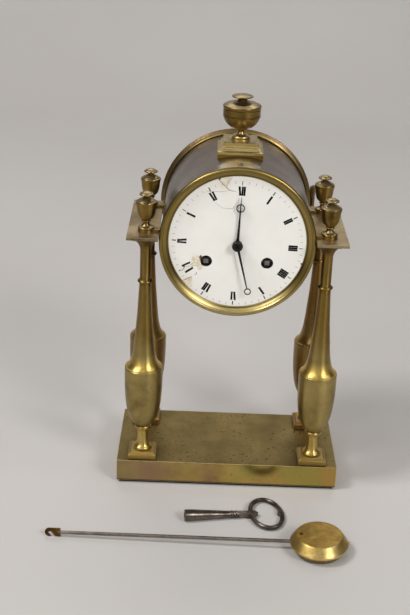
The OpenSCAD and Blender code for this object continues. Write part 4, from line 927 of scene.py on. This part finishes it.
def add_chips():
    """Dark chips."""
    sheet = bmesh.new()
    for points in CHIPS:
        dial_polygon(sheet, points, CHIP_LIFT)
    piece("dial_chips", sheet, plain("bare metal", srgb(48, 34, 24), srgb(92, 70, 50), 0.6))


add_cracks()
add_losses()
add_chips()


# Camera, with its turns in degrees

CAMERA_PLACE = Vector((-30.4, -979.3, 587.4)) * MM
CAMERA_YAW = -0.24
CAMERA_PITCH = -23.37
CAMERA_ROLL = -2.25
CAMERA_LENS = 66
CAMERA_SENSOR = 36


def add_camera():
    """The camera, which looks along the turned Y axis."""
    turn = Matrix.Rotation(math.radians(CAMERA_YAW), 3, "Z")
    turn = turn @ Matrix.Rotation(math.radians(CAMERA_PITCH), 3, "X")
    turn = turn @ Matrix.Rotation(math.radians(CAMERA_ROLL), 3, "Y")
    right, forward, up = turn.col
    data = bpy.data.cameras.new("camera")
    data.sensor_width = CAMERA_SENSOR
    data.lens = CAMERA_LENS
    data.clip_start = 0.05
    data.clip_end = 50
    obj = bpy.data.objects.new("camera", data)
    place = Matrix((right, up, -forward)).transposed().to_4x4()
    place.translation = CAMERA_PLACE
    obj.matrix_world = place
    bpy.context.scene.collection.objects.link(obj)
    bpy.context.scene.camera = obj


add_camera()


# Paper behind and below, in metres

BACKDROP = srgb(190, 187, 184)
FLOOR_Y = (-3.2, -1.0, 1.3)
BEND_R = 0.8
BEND_STEPS = 16
PAPER_TOP_Z = 3.2
PAPER_HALF_WIDTH = 4

# Where the paper changes, each from its start to its full share
DARK_FRONT_Y = (-0.62, -1.0)
FAR_FRONT_Y = (-1.2, -2.2)
FAR_ASIDE_X = (1.3, 2.3)


def paper():
    """Pale paper; shiny things see its front part dark, and the camera sees its far parts as backdrop."""
    shader = Shader("paper")
    cloud = shader.noise(3, 3, 0.5)
    colour = shader.ramp(cloud, (0.35, srgb(188, 183.5, 180)), (0.65, srgb(190, 186, 182)))
    rays = shader.node("ShaderNodeLightPath").outputs
    dark_front = shader.maths("MULTIPLY", shader.span(shader.y, *DARK_FRONT_Y), rays["Is Glossy Ray"])
    colour = shader.mix(dark_front, colour, srgb(52, 49, 46))
    far_front = shader.span(shader.y, *FAR_FRONT_Y)
    far_aside = shader.span(shader.maths("ABSOLUTE", shader.x), *FAR_ASIDE_X)
    far = shader.maths("MULTIPLY", shader.maths("MAXIMUM", far_front, far_aside), rays["Is Camera Ray"])
    return shader.finish(
        Base_Color=shader.mix(far, colour, (0, 0, 0, 1)),
        Roughness=0.62,
        Specular_IOR_Level=shader.span(far, 0.0, 1.0, 0.25, 0.0),
        Emission_Color=BACKDROP,
        Emission_Strength=far,
    )


def add_sweep():
    """Seamless paper: a floor that curves up into a backdrop."""
    outline = [(y, 0.0) for y in FLOOR_Y]
    for k in range(1, BEND_STEPS + 1):
        angle = math.radians(90 * k / BEND_STEPS)
        outline.append((FLOOR_Y[-1] + BEND_R * math.sin(angle), BEND_R * (1 - math.cos(angle))))
    outline.append((FLOOR_Y[-1] + BEND_R, PAPER_TOP_Z))
    sheet = bmesh.new()
    left = [sheet.verts.new((-PAPER_HALF_WIDTH, y, z)) for y, z in outline]
    right = [sheet.verts.new((PAPER_HALF_WIDTH, y, z)) for y, z in outline]
    for i in range(len(outline) - 1):
        face = sheet.faces.new((left[i], right[i], right[i + 1], left[i + 1]))
        face.smooth = True
    mesh = bpy.data.meshes.new("sweep")
    sheet.to_mesh(mesh)
    sheet.free()
    mesh.materials.append(paper())
    obj = bpy.data.objects.new("sweep", mesh)
    bpy.context.scene.collection.objects.link(obj)


add_sweep()


# Lights: degrees round from the right, degrees up, distance and size in metres, watts

LIGHTS = (
    ("right box", 49, 34, 3.2, (1.0, 1.0), 47),
    ("left box", 160, 53, 2.8, (0.65, 0.65), 40),
    ("back box", 270, 50, 3.0, (2.4, 1.2), 32),
    ("front left box", 125, 38, 3.2, (1.2, 1.2), 18),
    ("right side box", 12, 45, 3.0, (1.2, 1.2), 9),
    ("front box", 92, 22, 3.0, (1.4, 1.0), 6),
    ("top box", 95, 68, 2.8, (0.8, 0.6), 4),
)
LIGHT_AIM = Vector((0, 0, 0.12))


def add_softbox(name, around, up, distance, size, watts):
    """A rectangular light that aims at the clock."""
    around = math.radians(around)
    up = math.radians(up)
    away = Vector((math.cos(around) * math.cos(up), -math.sin(around) * math.cos(up), math.sin(up)))
    data = bpy.data.lights.new(name, "AREA")
    data.shape = "RECTANGLE"
    data.size, data.size_y = size
    data.energy = watts
    obj = bpy.data.objects.new(name, data)
    obj.location = LIGHT_AIM + distance * away
    obj.rotation_euler = (-away).to_track_quat("-Z", "Y").to_euler()
    bpy.context.scene.collection.objects.link(obj)


for light in LIGHTS:
    add_softbox(*light)


# World: the camera sees it as backdrop, and it lights the clock only faintly

WORLD_LIGHT = 0.05


def add_world():
    """The studio round the clock."""
    world = bpy.data.worlds.new("studio")
    world.use_nodes = True
    tree = world.node_tree
    background = tree.nodes["Background"]
    background.inputs["Color"].default_value = BACKDROP
    seen = tree.nodes.new("ShaderNodeLightPath").outputs["Is Camera Ray"]
    strength = tree.nodes.new("ShaderNodeMapRange")
    strength.inputs["To Min"].default_value = WORLD_LIGHT
    strength.inputs["To Max"].default_value = 1.0
    tree.links.new(seen, strength.inputs["Value"])
    tree.links.new(strength.outputs[0], background.inputs["Strength"])
    bpy.context.scene.world = world


add_world()
bpy.context.scene.view_settings.view_transform = "Standard"
